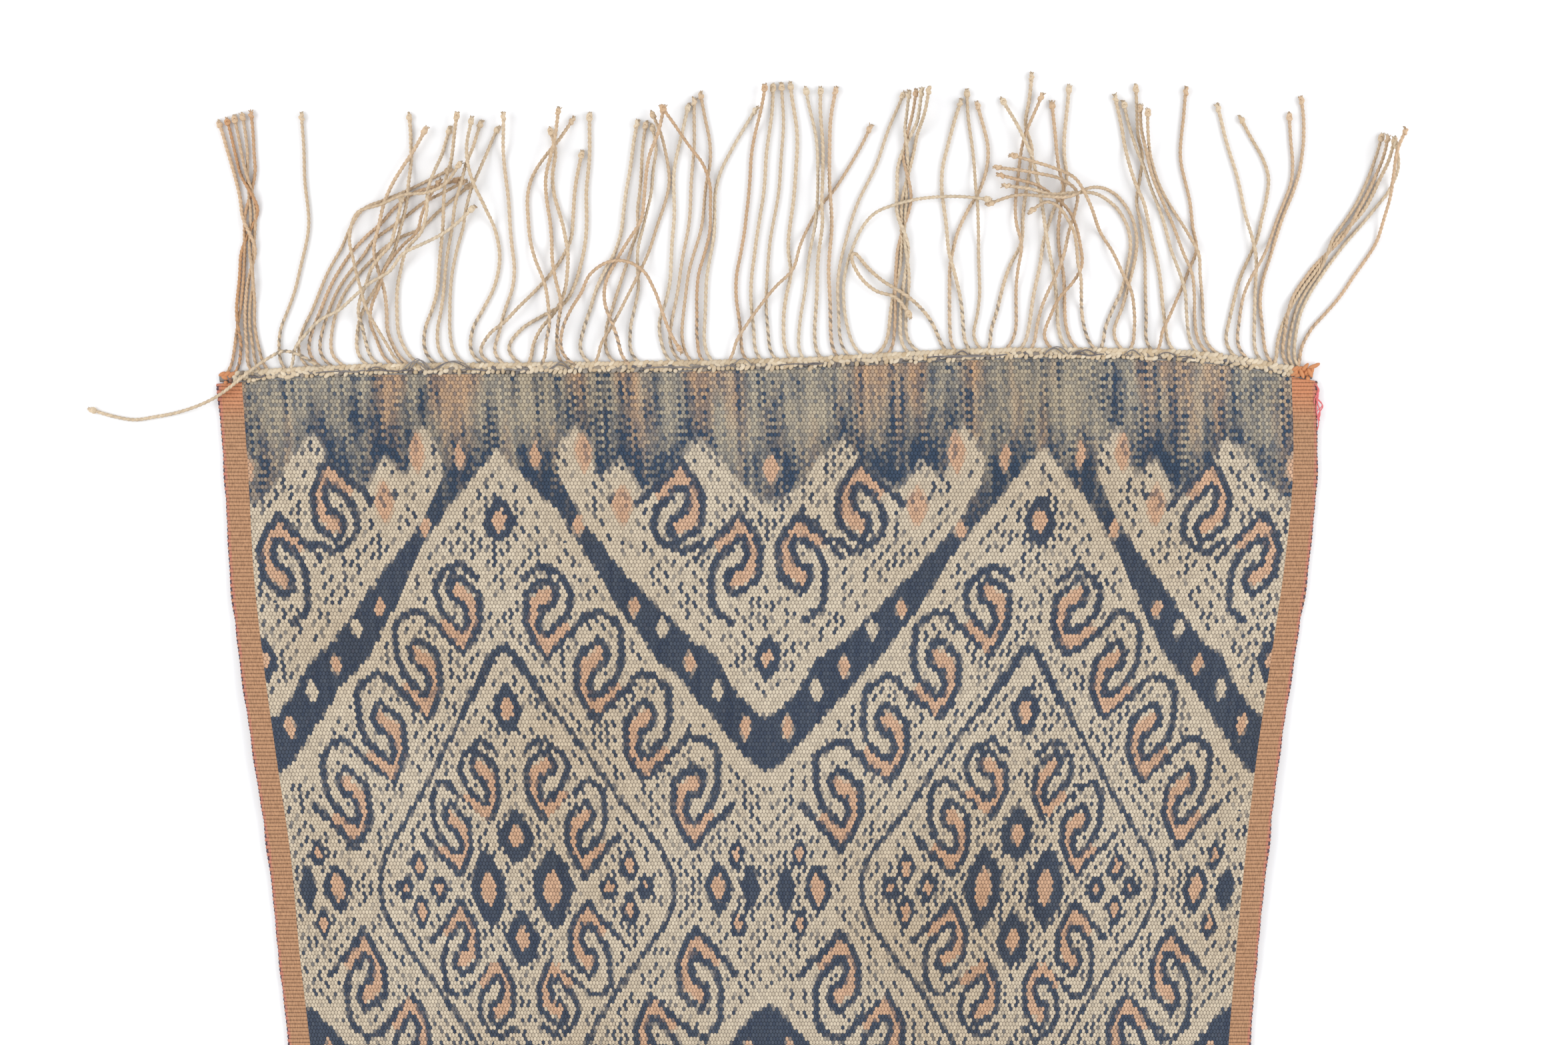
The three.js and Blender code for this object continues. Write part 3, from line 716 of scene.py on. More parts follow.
def twine_heading(settings, finish):
    """The heading: a core strip with three rows of slanted stitches wrapped over it."""
    draw = np.random.default_rng(settings.seed)
    bundle = Bundle()
    x = np.linspace(HEADING_LEFT, HEADING_RIGHT, CORE_RINGS)
    core = np.column_stack([x, heading_line(x), np.full(CORE_RINGS, CORE_MIDDLE)])
    angles = np.broadcast_to(np.linspace(0, 2 * np.pi, 9)[:-1], (CORE_RINGS, 8))
    flat = (np.cos(angles) / CORE_HALF_WIDTH) ** 2 + (np.sin(angles) / CORE_HALF_HEIGHT) ** 2
    radii = 1 / np.sqrt(flat)
    points, faces = tube(core, (angles, radii))
    bundle.add(points, faces, tone=0.35, indigo=0.75, warm=0)
    stitch, stitch_faces = stitch_shape()
    for above, pitch, length, width, slant, uneven, dark in STITCH_ROWS:
        x = HEADING_LEFT + 1 + pitch * draw.random()
        while x < HEADING_RIGHT - 1:
            y = float(heading_line(x)) + above + draw.normal(0, 0.9 * uneven)
            stretch = draw.uniform(1 - uneven, 1 + uneven)
            size = (length * stretch, width * draw.uniform(0.9, 1.15), draw.uniform(1.4, 1.75))
            lean = slant + draw.normal(0, uneven)
            place = (x, y, STITCH_HEIGHT)
            shape = placed(stitch, size, draw.normal(0, 0.2), lean, place)
            indigo = draw.uniform(0.5, 0.9) if draw.random() < dark else draw.uniform(0, 0.1)
            corner = x > HEADING_RIGHT - 9 or x < HEADING_LEFT + 6
            bundle.add(shape, stitch_faces, tone=draw.random(), indigo=indigo, warm=float(corner))
            x += pitch * draw.uniform(0.88, 1.12)
    for x in END_STITCHES:
        place = (x, FRINGE_BASE + draw.uniform(-3, 3), 1.7 + draw.uniform(0, 0.9))
        shape = placed(stitch, (4.6, 1.8, 1.7), 0, draw.uniform(0.2, 2.4), place)
        bundle.add(shape, stitch_faces, tone=draw.random(), indigo=0, warm=1)
    return bundle.piece("twined_heading", finish)


def cross_over(lines, lift):
    """Draws close bundles together and lets neighbours change places, one over the other."""
    first = 0
    share = np.linspace(0, 1, LINE_STEPS)
    for number, (cords, *_) in enumerate(BUNDLES):
        bundle = lines[first : first + cords]
        apart = [np.linalg.norm(b - a, axis=1)[40:120].max() for a, b in zip(bundle, bundle[1:])]
        if apart and min(apart) < CLOSE:
            middle_line = np.mean(bundle, axis=0)
            pull = SQUEEZE * np.sin(np.pi * np.clip(share * 1.1, 0, 1))[:, None]
            for k, line in enumerate(bundle):
                lines[first + k] = line + (middle_line - line) * pull * (1, 1, 0)
        turns = cords + 1 if cords > 3 else cords - 1
        for turn in range(turns):
            pair = turn * (cords - 2) % (cords - 1)
            if apart[pair] > CLOSE:
                continue
            lower = first + pair
            upper = lower + 1
            middle = 0.16 + 0.7 * (turn + 0.5) / turns + 0.03 * math.sin(number + turn * 2)
            change = np.clip((share - middle) / CROSSING + 0.5, 0, 1)[:, None]
            change = change * change * (3 - 2 * change)
            one, other = lines[lower], lines[upper]
            lines[lower] = one + (other - one) * change
            lines[upper] = other + (one - other) * change
            lines[upper][:, 2] += lift * np.sin(np.pi * change[:, 0])
        first += cords
    return lines


def cord_lines(settings):
    """The middle line of each cord, as it lies, with the run along it."""
    radius = settings.cord * 500
    lines = []
    for points in lay_cords(ease_apart(cord_routes())):
        line = curve_through(points, LINE_STEPS)
        line[:, 2] = np.maximum(line[:, 2], 0) + radius
        lines.append(line)
    lines = cross_over(lines, settings.cord * 1000)
    shaped = []
    for line in lines:
        length = np.linalg.norm(np.diff(line, axis=0), axis=1).sum()
        line = curve_through(line, round(length / RING_SPACING))
        run = np.linspace(0, length, len(line))
        root = line[0, 0]
        wave = np.sin(run / 5.3 + root / 9) * 0.35 + np.sin(run / 12.1 + root / 13) * 0.65
        line[:, 0] += settings.wander * 1000 * wave * np.clip(run / 14, 0, 1)
        sweep = math.copysign(1, root - np.interp(14, run, line[:, 0]))
        line[:, 0] += sweep * settings.sweep * 1000 * np.exp(-((run / 4) ** 2))
        shaped.append((line, run))
    return shaped


def tip_hair(draw, end, lean):
    """One thinning fibre of a cord's frayed end, bent down to the floor."""
    t = np.linspace(0, 1, HAIR_STEPS)[:, None]
    tip = np.array((math.cos(lean), math.sin(lean), 0)) * draw.uniform(2.2, 3.1)
    bend = np.array((-math.sin(lean), math.cos(lean), 0)) * draw.normal(0, 0.5)
    drop = np.array((0, 0, 0.15 - end[2] * 0.25))
    hair = end + t * tip + t * t * (bend + drop)
    ring = np.broadcast_to(np.arange(3) * 0.75 * np.pi * 0.85, (HAIR_STEPS, 3))
    thin = np.broadcast_to(0.5 - 0.28 * t, (HAIR_STEPS, 3))
    shape, faces = tube(hair, (ring, thin))
    shape[:, 2] = np.maximum(shape[:, 2], LOWEST)
    return shape, faces


def ply_cords(settings, finish):
    """The fringe: each cord is two plies laid round each other, grown from the heading."""
    draw = np.random.default_rng(settings.seed)
    bundles = [Bundle(), Bundle(), Bundle()]
    knots = Bundle()
    knot, knot_faces = knot_shape()
    theta = np.linspace(0, 2 * np.pi, CORD_SIDES + 1)[:-1]
    lobes = 0.85 + 0.15 * np.cos(2 * theta)
    for number, (line, run) in enumerate(cord_lines(settings)):
        radius = settings.cord * 500 * draw.uniform(0.92, 1.04)
        hand = run[:, None] * 2 * np.pi / settings.pitch / 1000
        angles = theta[None] + hand + draw.uniform(0, 6)
        radii = np.broadcast_to(lobes, angles.shape) * radius
        shape, faces = tube(line, (angles, radii))
        warm = draw.random() ** 2 * 0.5
        if abs(line[0, 0]) > STRIPE_CORDS:
            warm = draw.uniform(0.7, 1)
        tone = draw.random()
        ply = np.tile((np.cos(theta) > 0).astype(float), len(line))
        indigo = np.repeat(np.clip((DYED_PLY - run) / DYED_PLY_FADE, 0, 1), CORD_SIDES)
        indigo = indigo * draw.choice((0.1, 0.4, 0.75))
        bundles[number % 3].add(shape, faces, tone=tone, warm=warm, ply=ply, indigo=indigo)
        end = line[-1]
        facing = line[-1] - line[-4]
        turn = math.atan2(facing[1], facing[0])
        size = (1.15 * draw.uniform(0.9, 1.2), 1.05, 1)
        shape = placed(knot, size, draw.uniform(0, 6), turn, end + (0, 0, 0.35))
        shape[:, 2] += max(0, LOWEST - shape[:, 2].min())
        knots.add(shape, knot_faces, tone=tone, warm=warm, ply=0, indigo=0)
        for _ in range(TIP_HAIRS):
            shape, faces = tip_hair(draw, end, turn + draw.normal(0, 0.11))
            knots.add(shape, faces, tone=draw.random(), warm=warm * 0.6, ply=1, indigo=0)
    names = ("fringe_cords_first", "fringe_cords_second", "fringe_cords_third", "fringe_knots")
    return [bundle.piece(name, finish) for name, bundle in zip(names, (*bundles, knots))]


def loose_threads(settings, finish):
    """Ends of indigo weft that stand out of the heading, and pink ends at the right selvedge."""
    draw = np.random.default_rng(settings.seed + 1)
    bundle = Bundle()
    ring = np.broadcast_to(np.linspace(0, 2 * np.pi, 6)[:-1], (THREAD_STEPS, 5))
    t = np.linspace(0, 1, THREAD_STEPS)

    def add_thread(line, radius, pink):
        shape, faces = tube(np.column_stack(line), (ring, np.full(ring.shape, radius)))
        bundle.add(shape, faces, tone=draw.random(), indigo=1 - pink, warm=0, pink=pink)

    for x, run, rise, count in LOOPS:
        for _ in range(count):
            start = x + draw.normal(0, 1.5)
            along = start + run * draw.uniform(0.7, 1.1) * t
            lift = rise * draw.uniform(0.5, 1) * np.sin(np.pi * t) ** draw.uniform(0.7, 1.4)
            line = (along, heading_line(along) - 0.6 + lift, 2.1 + 0.5 * lift)
            add_thread(line, draw.uniform(0.22, 0.34), 0)
    for _ in range(TUCKED_THREADS):
        start = draw.uniform(HEADING_LEFT + 10, HEADING_RIGHT - 30)
        along = start + draw.uniform(6, 22) * t
        dip = 0.35 * np.sin(np.pi * t * draw.uniform(1, 3))
        line = (along, heading_line(along) - 0.7 + dip, 2.15 + 0.1 * dip)
        add_thread(line, draw.uniform(0.25, 0.4), 0)
    for k in range(PINK_THREADS):
        fall = draw.uniform(7, 19)
        wave = 0.9 * np.sin(t * draw.uniform(5, 9) + k)
        x = 237.6 + 0.3 * k + wave + 1.3 * np.sin(np.pi * t)
        add_thread((x, 413 - 1.2 * k - fall * t, 1.9 + 0.4 * t), 0.26, 1)
    return bundle.piece("loose_threads", finish)


class Value:
    """A number in a finish. Sums on it add Math nodes."""

    def __init__(self, finish, socket):
        self.finish = finish
        self.socket = socket

    def maths(self, operation, *others, clamp=False):
        return self.finish.maths(operation, self, *others, clamp=clamp)

    def __rsub__(self, other):
        return self.finish.maths("SUBTRACT", other, self)

    def faded_out(self, start):
        """0 at start and 1 at 1, without an end on either side."""
        return self.maths("MULTIPLY_ADD", 1 / (1 - start), -start / (1 - start))

    def faded(self, start, end):
        """0 up to start, 1 from end on, and a straight rise between them."""
        slope = 1 / (end - start)
        return self.maths("MULTIPLY_ADD", slope, -start * slope, clamp=True)


def value_sum(operation):
    return lambda value, *others: value.maths(operation, *others)


VALUE_SUMS = {
    "__add__": "ADD",
    "__radd__": "ADD",
    "__mul__": "MULTIPLY",
    "__rmul__": "MULTIPLY",
    "__sub__": "SUBTRACT",
    "__truediv__": "DIVIDE",
    "__abs__": "ABSOLUTE",
    "__floor__": "FLOOR",
    "rounded": "ROUND",
    "part": "FRACT",
    "above": "GREATER_THAN",
    "below": "LESS_THAN",
    "least": "MINIMUM",
    "most": "MAXIMUM",
}
for sum_name, sum_operation in VALUE_SUMS.items():
    setattr(Value, sum_name, value_sum(sum_operation))


def linear(red, green, blue):
    """A colour given in 0 to 255 as a screen shows it, as the shaders take it."""
    parts = []
    for part in (red, green, blue):
        part = part / 255
        parts.append(part / 12.92 if part <= 0.04045 else ((part + 0.055) / 1.055) ** 2.4)
    return (*parts, 1.0)


def screen(value):
    return tuple(round(part * 255) for part in value)


class Finish:
    """A material in the making. Colours of three parts are as a screen shows them."""

    def __init__(self, name, roughness, specular):
        self.material = bpy.data.materials.new(name)
        self.material.use_nodes = True
        self.tree = self.material.node_tree
        self.tree.nodes.clear()
        sockets = {"Roughness": roughness, "Specular IOR Level": specular}
        self.shader = self.add("ShaderNodeBsdfPrincipled", sockets=sockets)
        self.add("ShaderNodeOutputMaterial", sockets={"Surface": self.shader.outputs["BSDF"]})

    def add(self, kind, settings=None, sockets=None):
        """Adds a node: its settings first, then the values or links of its sockets."""
        node = self.tree.nodes.new(kind)
        for name, value in (settings or {}).items():
            setattr(node, name, value)
        for name, value in (sockets or {}).items():
            self.feed(node.inputs[name], value)
        return node

    def feed(self, socket, value):
        if isinstance(value, Value):
            value = value.socket
        if isinstance(value, bpy.types.NodeSocket):
            self.tree.links.new(value, socket)
        elif socket.type == "RGBA" and len(value) == 3:
            socket.default_value = linear(*value)
        else:
            socket.default_value = value

    def maths(self, operation, *values, clamp=False):
        settings = {"operation": operation, "use_clamp": clamp}
        node = self.add("ShaderNodeMath", settings, dict(enumerate(values)))
        return Value(self, node.outputs[0])

    def vector(self, operation, *values, output="Vector"):
        node = self.add("ShaderNodeVectorMath", {"operation": operation}, dict(enumerate(values)))
        return node.outputs[output]

    def measure(self, operation, *values):
        return Value(self, self.vector(operation, *values, output="Value"))

    def point(self, x, y, z=0.0):
        return self.add("ShaderNodeCombineXYZ", sockets={0: x, 1: y, 2: z}).outputs[0]

    def split(self, place):
        node = self.add("ShaderNodeSeparateXYZ", sockets={0: place})
        return [Value(self, socket) for socket in node.outputs]

    def object_place(self):
        return self.add("ShaderNodeTexCoord").outputs["Object"]

    def attribute(self, name):
        node = self.add("ShaderNodeAttribute", {"attribute_name": name})
        return Value(self, node.outputs["Fac"])

    def noise(self, place, detail=2.0, scale=1.0, output="Fac"):
        """Soft noise at a place, or at the place that two or three numbers give."""
        place = self.point(*place) if isinstance(place, tuple) else place
        sockets = {"Vector": place, "Scale": scale, "Detail": detail}
        node = self.add("ShaderNodeTexNoise", {"noise_dimensions": "3D"}, sockets)
        return Value(self, node.outputs[output])

    def chance(self, x, y, z):
        """A number from 0 to 1 that is drawn once for each place."""
        sockets = {"Vector": self.point(x, y, z)}
        node = self.add("ShaderNodeTexWhiteNoise", {"noise_dimensions": "3D"}, sockets)
        return Value(self, node.outputs["Value"])

    def blend(self, share, first, second, how="MIX"):
        """Mixes two colours."""
        settings = {"data_type": "RGBA", "blend_type": how}
        return self.add("ShaderNodeMix", settings, {0: share, 6: first, 7: second}).outputs[2]

    def choose(self, share, first, second):
        """The first vector where the share is 0, and the second where it is 1."""
        sockets = {0: share, 4: first, 5: second}
        return self.add("ShaderNodeMix", {"data_type": "VECTOR"}, sockets).outputs[1]

    def read_line(self, column, rows, last=1700, first=500):
        """The row at which a line through chart points crosses a column."""
        node = self.add("ShaderNodeValToRGB", sockets={0: column * (1 / QUARTER)})
        elements = node.color_ramp.elements
        while len(elements) < len(rows):
            elements.new(0.5)
        for element, (x, row) in zip(elements, rows):
            grey = (row - first) / (last - first)
            element.position = x / QUARTER
            element.color = (grey, grey, grey, 1)
        return Value(self, node.outputs[0]) * (last - first) + first

    def done(self, colour, height=None, strength=0, distance=0):
        """Colours the surface, raises it where a height is given, and hands it over."""
        self.feed(self.shader.inputs["Base Color"], colour)
        if height is not None:
            sockets = {"Strength": strength, "Distance": distance, "Height": height}
            bump = self.add("ShaderNodeBump", sockets=sockets)
            self.feed(self.shader.inputs["Normal"], bump.outputs[0])
        return self.material


def line_distance(finish, place, corners):
    """How far a place is from a bent line through chart points."""
    nearest = None
    for (ax, ay), (bx, by) in zip(corners, corners[1:]):
        run = (bx - ax, by - ay)
        square = run[0] ** 2 + run[1] ** 2
        start = (ax * run[0] + ay * run[1]) / square
        share = finish.measure("DOT_PRODUCT", place, (run[0] / square, run[1] / square, 0))
        share = share.maths("SUBTRACT", start, clamp=True)
        near = finish.vector("MULTIPLY_ADD", share, (*run, 0), (ax, ay, 0))
        away = finish.measure("DISTANCE", place, near)
        nearest = away if nearest is None else nearest.least(away)
    return nearest


def spot_distance(finish, place, spots):
    """The least distance to some pointed ovals: 1 at the edge, 0 at the edge of the middle."""
    nearest = None
    for x, row, wide, high, middle in spots:
        shift = (-x / wide, -row / high, 0)
        scaled = finish.vector("MULTIPLY_ADD", place, (1 / wide, 1 / high, 0), shift)
        pointed = finish.measure("DOT_PRODUCT", finish.vector("ABSOLUTE", scaled), (0.4, 0.4, 0))
        away = (finish.measure("LENGTH", scaled) * 0.55 + pointed).faded_out(middle)
        nearest = away if nearest is None else nearest.least(away)
    return nearest


def scroll_distances(finish, place, inner, upper):
    """How far a place is from the line of its region's chain of scrolls, and from its heart."""

    def of_region(choices):
        return finish.choose(upper, finish.choose(inner, choices[0], choices[1]), choices[2])

    starts, steps, *_ = zip(OUTER_CHAIN, INNER_CHAIN, UPPER_CHAIN)
    start = of_region([(*each, 0.0) for each in starts])
    step = of_region([(*each, 0.0) for each in steps])
    size = (inner * (1 / INNER_CHAIN[3] - 1) + 1) * (1 - upper) - upper
    from_start = finish.vector("SUBTRACT", place, start)
    number = finish.measure("DOT_PRODUCT", from_start, step)
    number = number / finish.measure("DOT_PRODUCT", step, step) + 0.5
    last = OUTER_CHAIN[2] - 2 * inner.most(upper)
    number = math.floor(number).most(0).least(last)
    back = finish.vector("MULTIPLY", step, number.socket)
    unit = finish.vector("SUBTRACT", from_start, back)
    unit = finish.vector("MULTIPLY", unit, size.socket)
    is_last = (number - last).above(-0.5)
    is_first = number.below(0.5)
    scroll = line_distance(finish, unit, SCROLL_LINE)
    for line, hidden in (
        (SCROLL_TAIL, is_last),
        (SCROLL_LEAD, is_first),
        (FIRST_LEAD, 1 - is_first),
    ):
        scroll = scroll.least(line_distance(finish, unit, line) + hidden * OUT_OF_REACH)
    return scroll, line_distance(finish, unit, SCROLL_HEART)


def ikat_finish(settings):
    """Warp-faced cotton: every grain of warp takes one colour of the dyed pattern."""
    finish = Finish("ikat cotton", ROUGHNESS, 0.25)
    lie = finish.add("ShaderNodeUVMap", {"uv_map": "weave"}).outputs["UV"]
    across, along, _ = finish.split(lie)

    # The warp floats over every other pick, and its neighbours over the picks between. Each
    # place belongs to the nearest of these grains.
    warp_place = across * WARPS
    pick_place = along * (CLOTH_LENGTH / PICK)

    def grain_near(shift):
        warp, pick = (
            ((place - shift) * 0.5).rounded() * 2 + shift for place in (warp_place, pick_place)
        )
        off_warp = warp_place - warp
        off_pick = pick_place - pick
        return warp, pick, off_warp * off_warp + off_pick * off_pick * GRAIN_SHAPE

    warp, pick, away = grain_near(0)
    other_warp, other_pick, other_away = grain_near(1)
    nearer = (away - other_away).above(0)
    warp = warp + (other_warp - warp) * nearer
    pick = pick + (other_pick - pick) * nearer
    grain_x = warp_place - warp
    grain_y = pick_place - pick
    luck = finish.chance(warp, pick, 1.0)
    warp_luck = finish.chance(warp, 0.0, 7.0)
    pair = math.floor(warp * 0.5)
    pair_luck = finish.chance(pair, 0.0, 3.0)

    # The grain's place on the chart, slipped a little along each warp as bound warps are.
    waver = finish.split(finish.noise((across * 11, along * 19), 1.0, output="Color"))
    slip = (warp_luck - 0.5) * settings.slip + (waver[1] - 0.5) * WAVER_ALONG
    bottom = ROW_OF_MIDDLE + CLOTH_LENGTH / 2 / UNIT
    row = bottom - pick * (PICK / UNIT) + slip
    row = ROW_OF_MIDDLE - abs(row - ROW_OF_MIDDLE)
    row = TURN - abs(row - TURN)
    column = 4 * QUARTER * (0.25 - abs(warp * (1 / WARPS) - 0.5))
    column = column + (waver[0] - 0.5) * WAVER_ACROSS
    column = abs(column) * (column.below(0) * EDGE_STRETCH + 1)
    place = finish.point(column, row)

    # The regions: the dark top band, the zigzag, the chevron, and what lies between them.
    under_top, under_zigzag_top, under_zigzag = (
        row - finish.read_line(column, line) for line in (BAND_FOOT, ZIGZAG_TOP, ZIGZAG_FOOT)
    )
    under_chevron = (row - finish.read_line(column, CHEVRON, 2500)) * CHEVRON_SLOPE
    outline = line_distance(finish, place, CHEVRON[:-1])
    inner = under_chevron.above(0)
    upper = under_zigzag_top.below(0)
    scroll, heart = scroll_distances(finish, place, inner, upper)
    eye = spot_distance(finish, place, EYES)
    light = spot_distance(finish, place, [(*spot[:4], 0) for spot in SPOTS])
    brown_spot = spot_distance(finish, place, [(*spot[:4], 0) for spot in SPOTS if spot[4]])
    stroke = line_distance(finish, place, STROKES[0])
    stroke = stroke.least(line_distance(finish, place, STROKES[1]))

    # How dark and how brown each grain is dyed. The edges fade over a few chart units.
    zigzag = under_zigzag_top.least(under_zigzag * -1).faded(-4, 4)
    thin = column.faded(45, 85)
    chevron = (outline + thin * 2.2).faded(9, 5.5) * (1 - thin * 0.1)
    ring = eye.faded(1.06, 0.94) * eye.faded(-0.06, 0.06)
    lines = (scroll.faded(8, 4.6) * 0.94).most(chevron)
    every_other = (pair * 0.5).part().below(0.25)
    dash_phase = (row - column * ZIGZAG_SLOPE) * (1 / DASH_STEP) + pair_luck * 0.22
    dash_luck = finish.chance(pair, math.floor(dash_phase), 5.0)
    dash_end = dash_phase.part() - dash_luck * 0.36
    dash = every_other * dash_end.faded(0.42, 0.32) * (dash_luck * 0.4 + 0.6)
    room = scroll.least(outline + 1).least(eye * 22 - 9).least(light * 13 - 9)
    room = room.least(abs(under_zigzag) * 0.5).least(abs(under_zigzag_top) * 0.62)
    dashes = dash * room.faded(10.5, 13.5) * heart.faded(9, 12) * dash_luck.faded(0.1, 0.12)
    dye = zigzag.most(lines).most(ring).most(dashes)
    dye = dye * light.faded(0.8, 1.15)
    dye = dye.most(stroke.faded(4, 2.5) * 0.55)
    dye = (dye + (luck - 0.5) * 0.36).faded(0.34, 0.84)
    brown = heart.faded(11.5, 8.5).most(eye.faded(0.1, -0.06)).most(brown_spot.faded(1.1, 0.8))
    ground = finish.blend(brown * 0.9, screen(settings.cream), screen(settings.brown))
    dark = finish.blend(warp_luck * 0.3 + luck * 0.4, screen(settings.indigo), (92, 102, 116))
    pattern = finish.blend(dye, ground, dark)

    # The top band: each warp runs its own mix of indigo, brown and cream.
    depth = row.faded(TOP_ROW, TOP_ROW + 150)
    streak = finish.noise((warp * 0.18, row * 0.0035))
    own = finish.noise((warp * 0.95, row * 0.006, 4.0), 1.0)
    zone = finish.noise((column * 0.013, row * 0.007, 2.0), 1.0)
    band = streak * 1.5 + own * 2.3 + zone * 1.6 + luck * 0.7 - depth * 0.3 - 2.57
    band = (band - under_top.faded(-70, -5) * 0.35).faded(-0.2, 0.85)
    worn = finish.noise((warp * 0.05, row * 0.003, 9.0)).faded(0.48, 0.62)
    worn = finish.blend(worn * (1 - depth * 0.5), (182, 172, 152), (198, 164, 132))
    top = finish.blend(band, (56, 72, 93), worn)
    in_band = under_top.faded(6, -7).most(zigzag * row.faded(TOP_ROW + 260, TOP_ROW + 140))
    cloth = finish.blend(in_band * brown_spot.faded(0.8, 1.15), pattern, top)
    soil = finish.noise((across * 5, along * 9, 3.0), 3.0).faded(0.42, 0.75)
    cloth = finish.blend(soil * 0.5, cloth, (228, 214, 196), "MULTIPLY")
    cloth = finish.blend(luck * 0.55, cloth, (206, 204, 204), "MULTIPLY")

    # The selvedge stripes: brown orange, with a pink line and indigo weft turning at the edge.
    side = abs(across - 0.5)
    stripe = side.above(0.5 - STRIPE)
    fray = finish.noise((across * 900, along * 260, 6.0))
    rust = finish.blend(fray.faded(0.4, 0.7) * 0.75, screen(settings.stripe), (140, 104, 78))
    rust = finish.blend(along.faded(0.976, 0.992) * 0.5, rust, (206, 126, 88))
    edge = side.faded(0.5 - EDGE_STRIPE, 0.5 - EDGE_STRIPE * 0.7)
    rosy = finish.blend(edge * fray.faded(0.3, 0.6), rust, (184, 118, 104))
    turned = side.above(0.5 - TURNED_WEFT) * (along * (CLOTH_LENGTH / PICK / 2)).part().above(0.5)
    rosy = finish.blend(turned * 0.85, rosy, (56, 60, 78))
    cloth = finish.blend(stripe, cloth, rosy)

    # Each grain is a rounded oval. The gaps round it are darkened: partly the dark weft that
    # shows there, partly painted shade in the hollows between the grains, and between the ribs in
    # the selvedge stripes.
    oval = 1 - (grain_x * grain_x * 0.85 + grain_y * grain_y * 2.3)
    ridge = pick_place.part() * 2 - 1
    oval = oval + stripe * (1 - ridge * ridge * 0.95 - grain_x * grain_x * 0.2 - oval)
    # weft is both the dark weft in the gaps and painted shade in the hollows between grains and
    # ribs.
    weft = oval.faded(0.62, 0.02) * (0.9 - stripe * 0.1)
    # Multiplying by this grey paints the shade of the gaps and ribs, together with the weft's own
    # dark colour.
    cloth = finish.blend(weft, cloth, (128, 122, 124), "MULTIPLY")
    twist = finish.noise((warp_place * 1.5 + along * 1700, along * 900), 1.0)
    cloth = finish.blend(0.22, cloth, twist, "OVERLAY")
    return finish.done(cloth, oval.faded(-0.3, 1) + twist * 0.12, 0.6, 0.0005)


def cord_finish(settings):
    """Plied cotton cord: faded cream and brown plies, and a dyed ply near the heading."""
    finish = Finish("plied cotton cord", ROUGHNESS, 0.2)
    place = finish.object_place()
    tone = finish.attribute("tone") * 0.5 + finish.noise(place, scale=45.0) * 0.5
    colour = finish.blend(tone, screen(settings.cream), screen(settings.brown))
    colour = finish.blend(finish.attribute("warm"), colour, (188, 142, 102))
    ply = finish.attribute("ply")
    colour = finish.blend(ply * 0.22, colour, (150, 124, 98))
    flecks = finish.noise(place, 1.0, 420.0).faded(0.36, 0.56)
    colour = finish.blend(finish.attribute("indigo") * ply * flecks, colour, (112, 106, 100))
    return finish.done(colour, finish.noise(place, scale=2600.0), 0.4, 0.0002)


def heading_finish(settings):
    """The wrapped yarn of the heading, cream with dark weft between the stitches."""
    finish = Finish("twined cotton yarn", ROUGHNESS, 0.2)
    place = finish.object_place()
    tone = finish.attribute("tone") * 0.8
    colour = finish.blend(tone, screen(settings.cream), (180, 156, 122))
    colour = finish.blend(finish.attribute("warm"), colour, (196, 134, 92))
    soil = finish.noise(place, scale=130.0).faded(0.45, 0.75)
    colour = finish.blend(soil * 0.3, colour, (140, 122, 98))
    colour = finish.blend(finish.attribute("indigo"), colour, (72, 76, 90))
    return finish.done(colour, finish.noise(place, scale=2200.0), 0.5, 0.0003)


def thread_finish():
    """Loose ends of dyed weft, indigo or pink."""
    finish = Finish("loose dyed thread", 0.9, 0.2)
    fade = finish.noise(finish.object_place(), scale=900.0) * 0.35
    colour = finish.blend(finish.attribute("tone"), (70, 74, 88), (120, 120, 122))
    colour = finish.blend(finish.attribute("pink"), colour, (214, 96, 108))
    return finish.done(finish.blend(fade, colour, (190, 170, 150)))


def floor_finish(settings):
    """A plain pale studio floor."""
    finish = Finish("pale floor", 0.9, 0.1)
    soft = finish.noise(finish.object_place(), scale=2.5).faded(0.3, 0.7)
    shades = [(*[part * dimming for part in settings.floor], 1.0) for dimming in (1, 0.985)]
    return finish.done(finish.blend(soft, *shades))


def size_property(name, description, value, low, high):
    return bpy.props.FloatProperty(
        name=name,
        description=description,
        default=value,
        min=low,
        max=high,
        unit="LENGTH",
        subtype="DISTANCE",
        precision=4,
    )


def colour_property(name, description, red, green, blue):
    return bpy.props.FloatVectorProperty(
        name=name,
        description=description,
        default=(red / 255, green / 255, blue / 255),
        min=0,
        max=1,
        size=3,
        subtype="COLOR_GAMMA",
    )


class ClothSettings(bpy.types.PropertyGroup):
    """The woven cloth's surface and dyes."""

    scallop: size_property("Scallop", "How far the weft turns stand out", 0.0003, 0, 0.001)
    ripple: size_property("Ripple", "How high the cloth puckers off the floor", 0.0005, 0, 0.002)
    slip: bpy.props.FloatProperty(
        name="Slip",
        description="How far the dyed warps slip along each other, in chart units",
        default=7,
        min=0,
        max=30,
    )
    cream: colour_property("Cream", "Undyed warp", 203, 190, 169)
    indigo: colour_property("Indigo", "Dyed warp", 50, 60, 79)
    brown: colour_property("Brown", "Warp dyed pale brown", 204, 164, 135)
    stripe: colour_property("Stripe", "Selvedge stripe", 179, 137, 105)


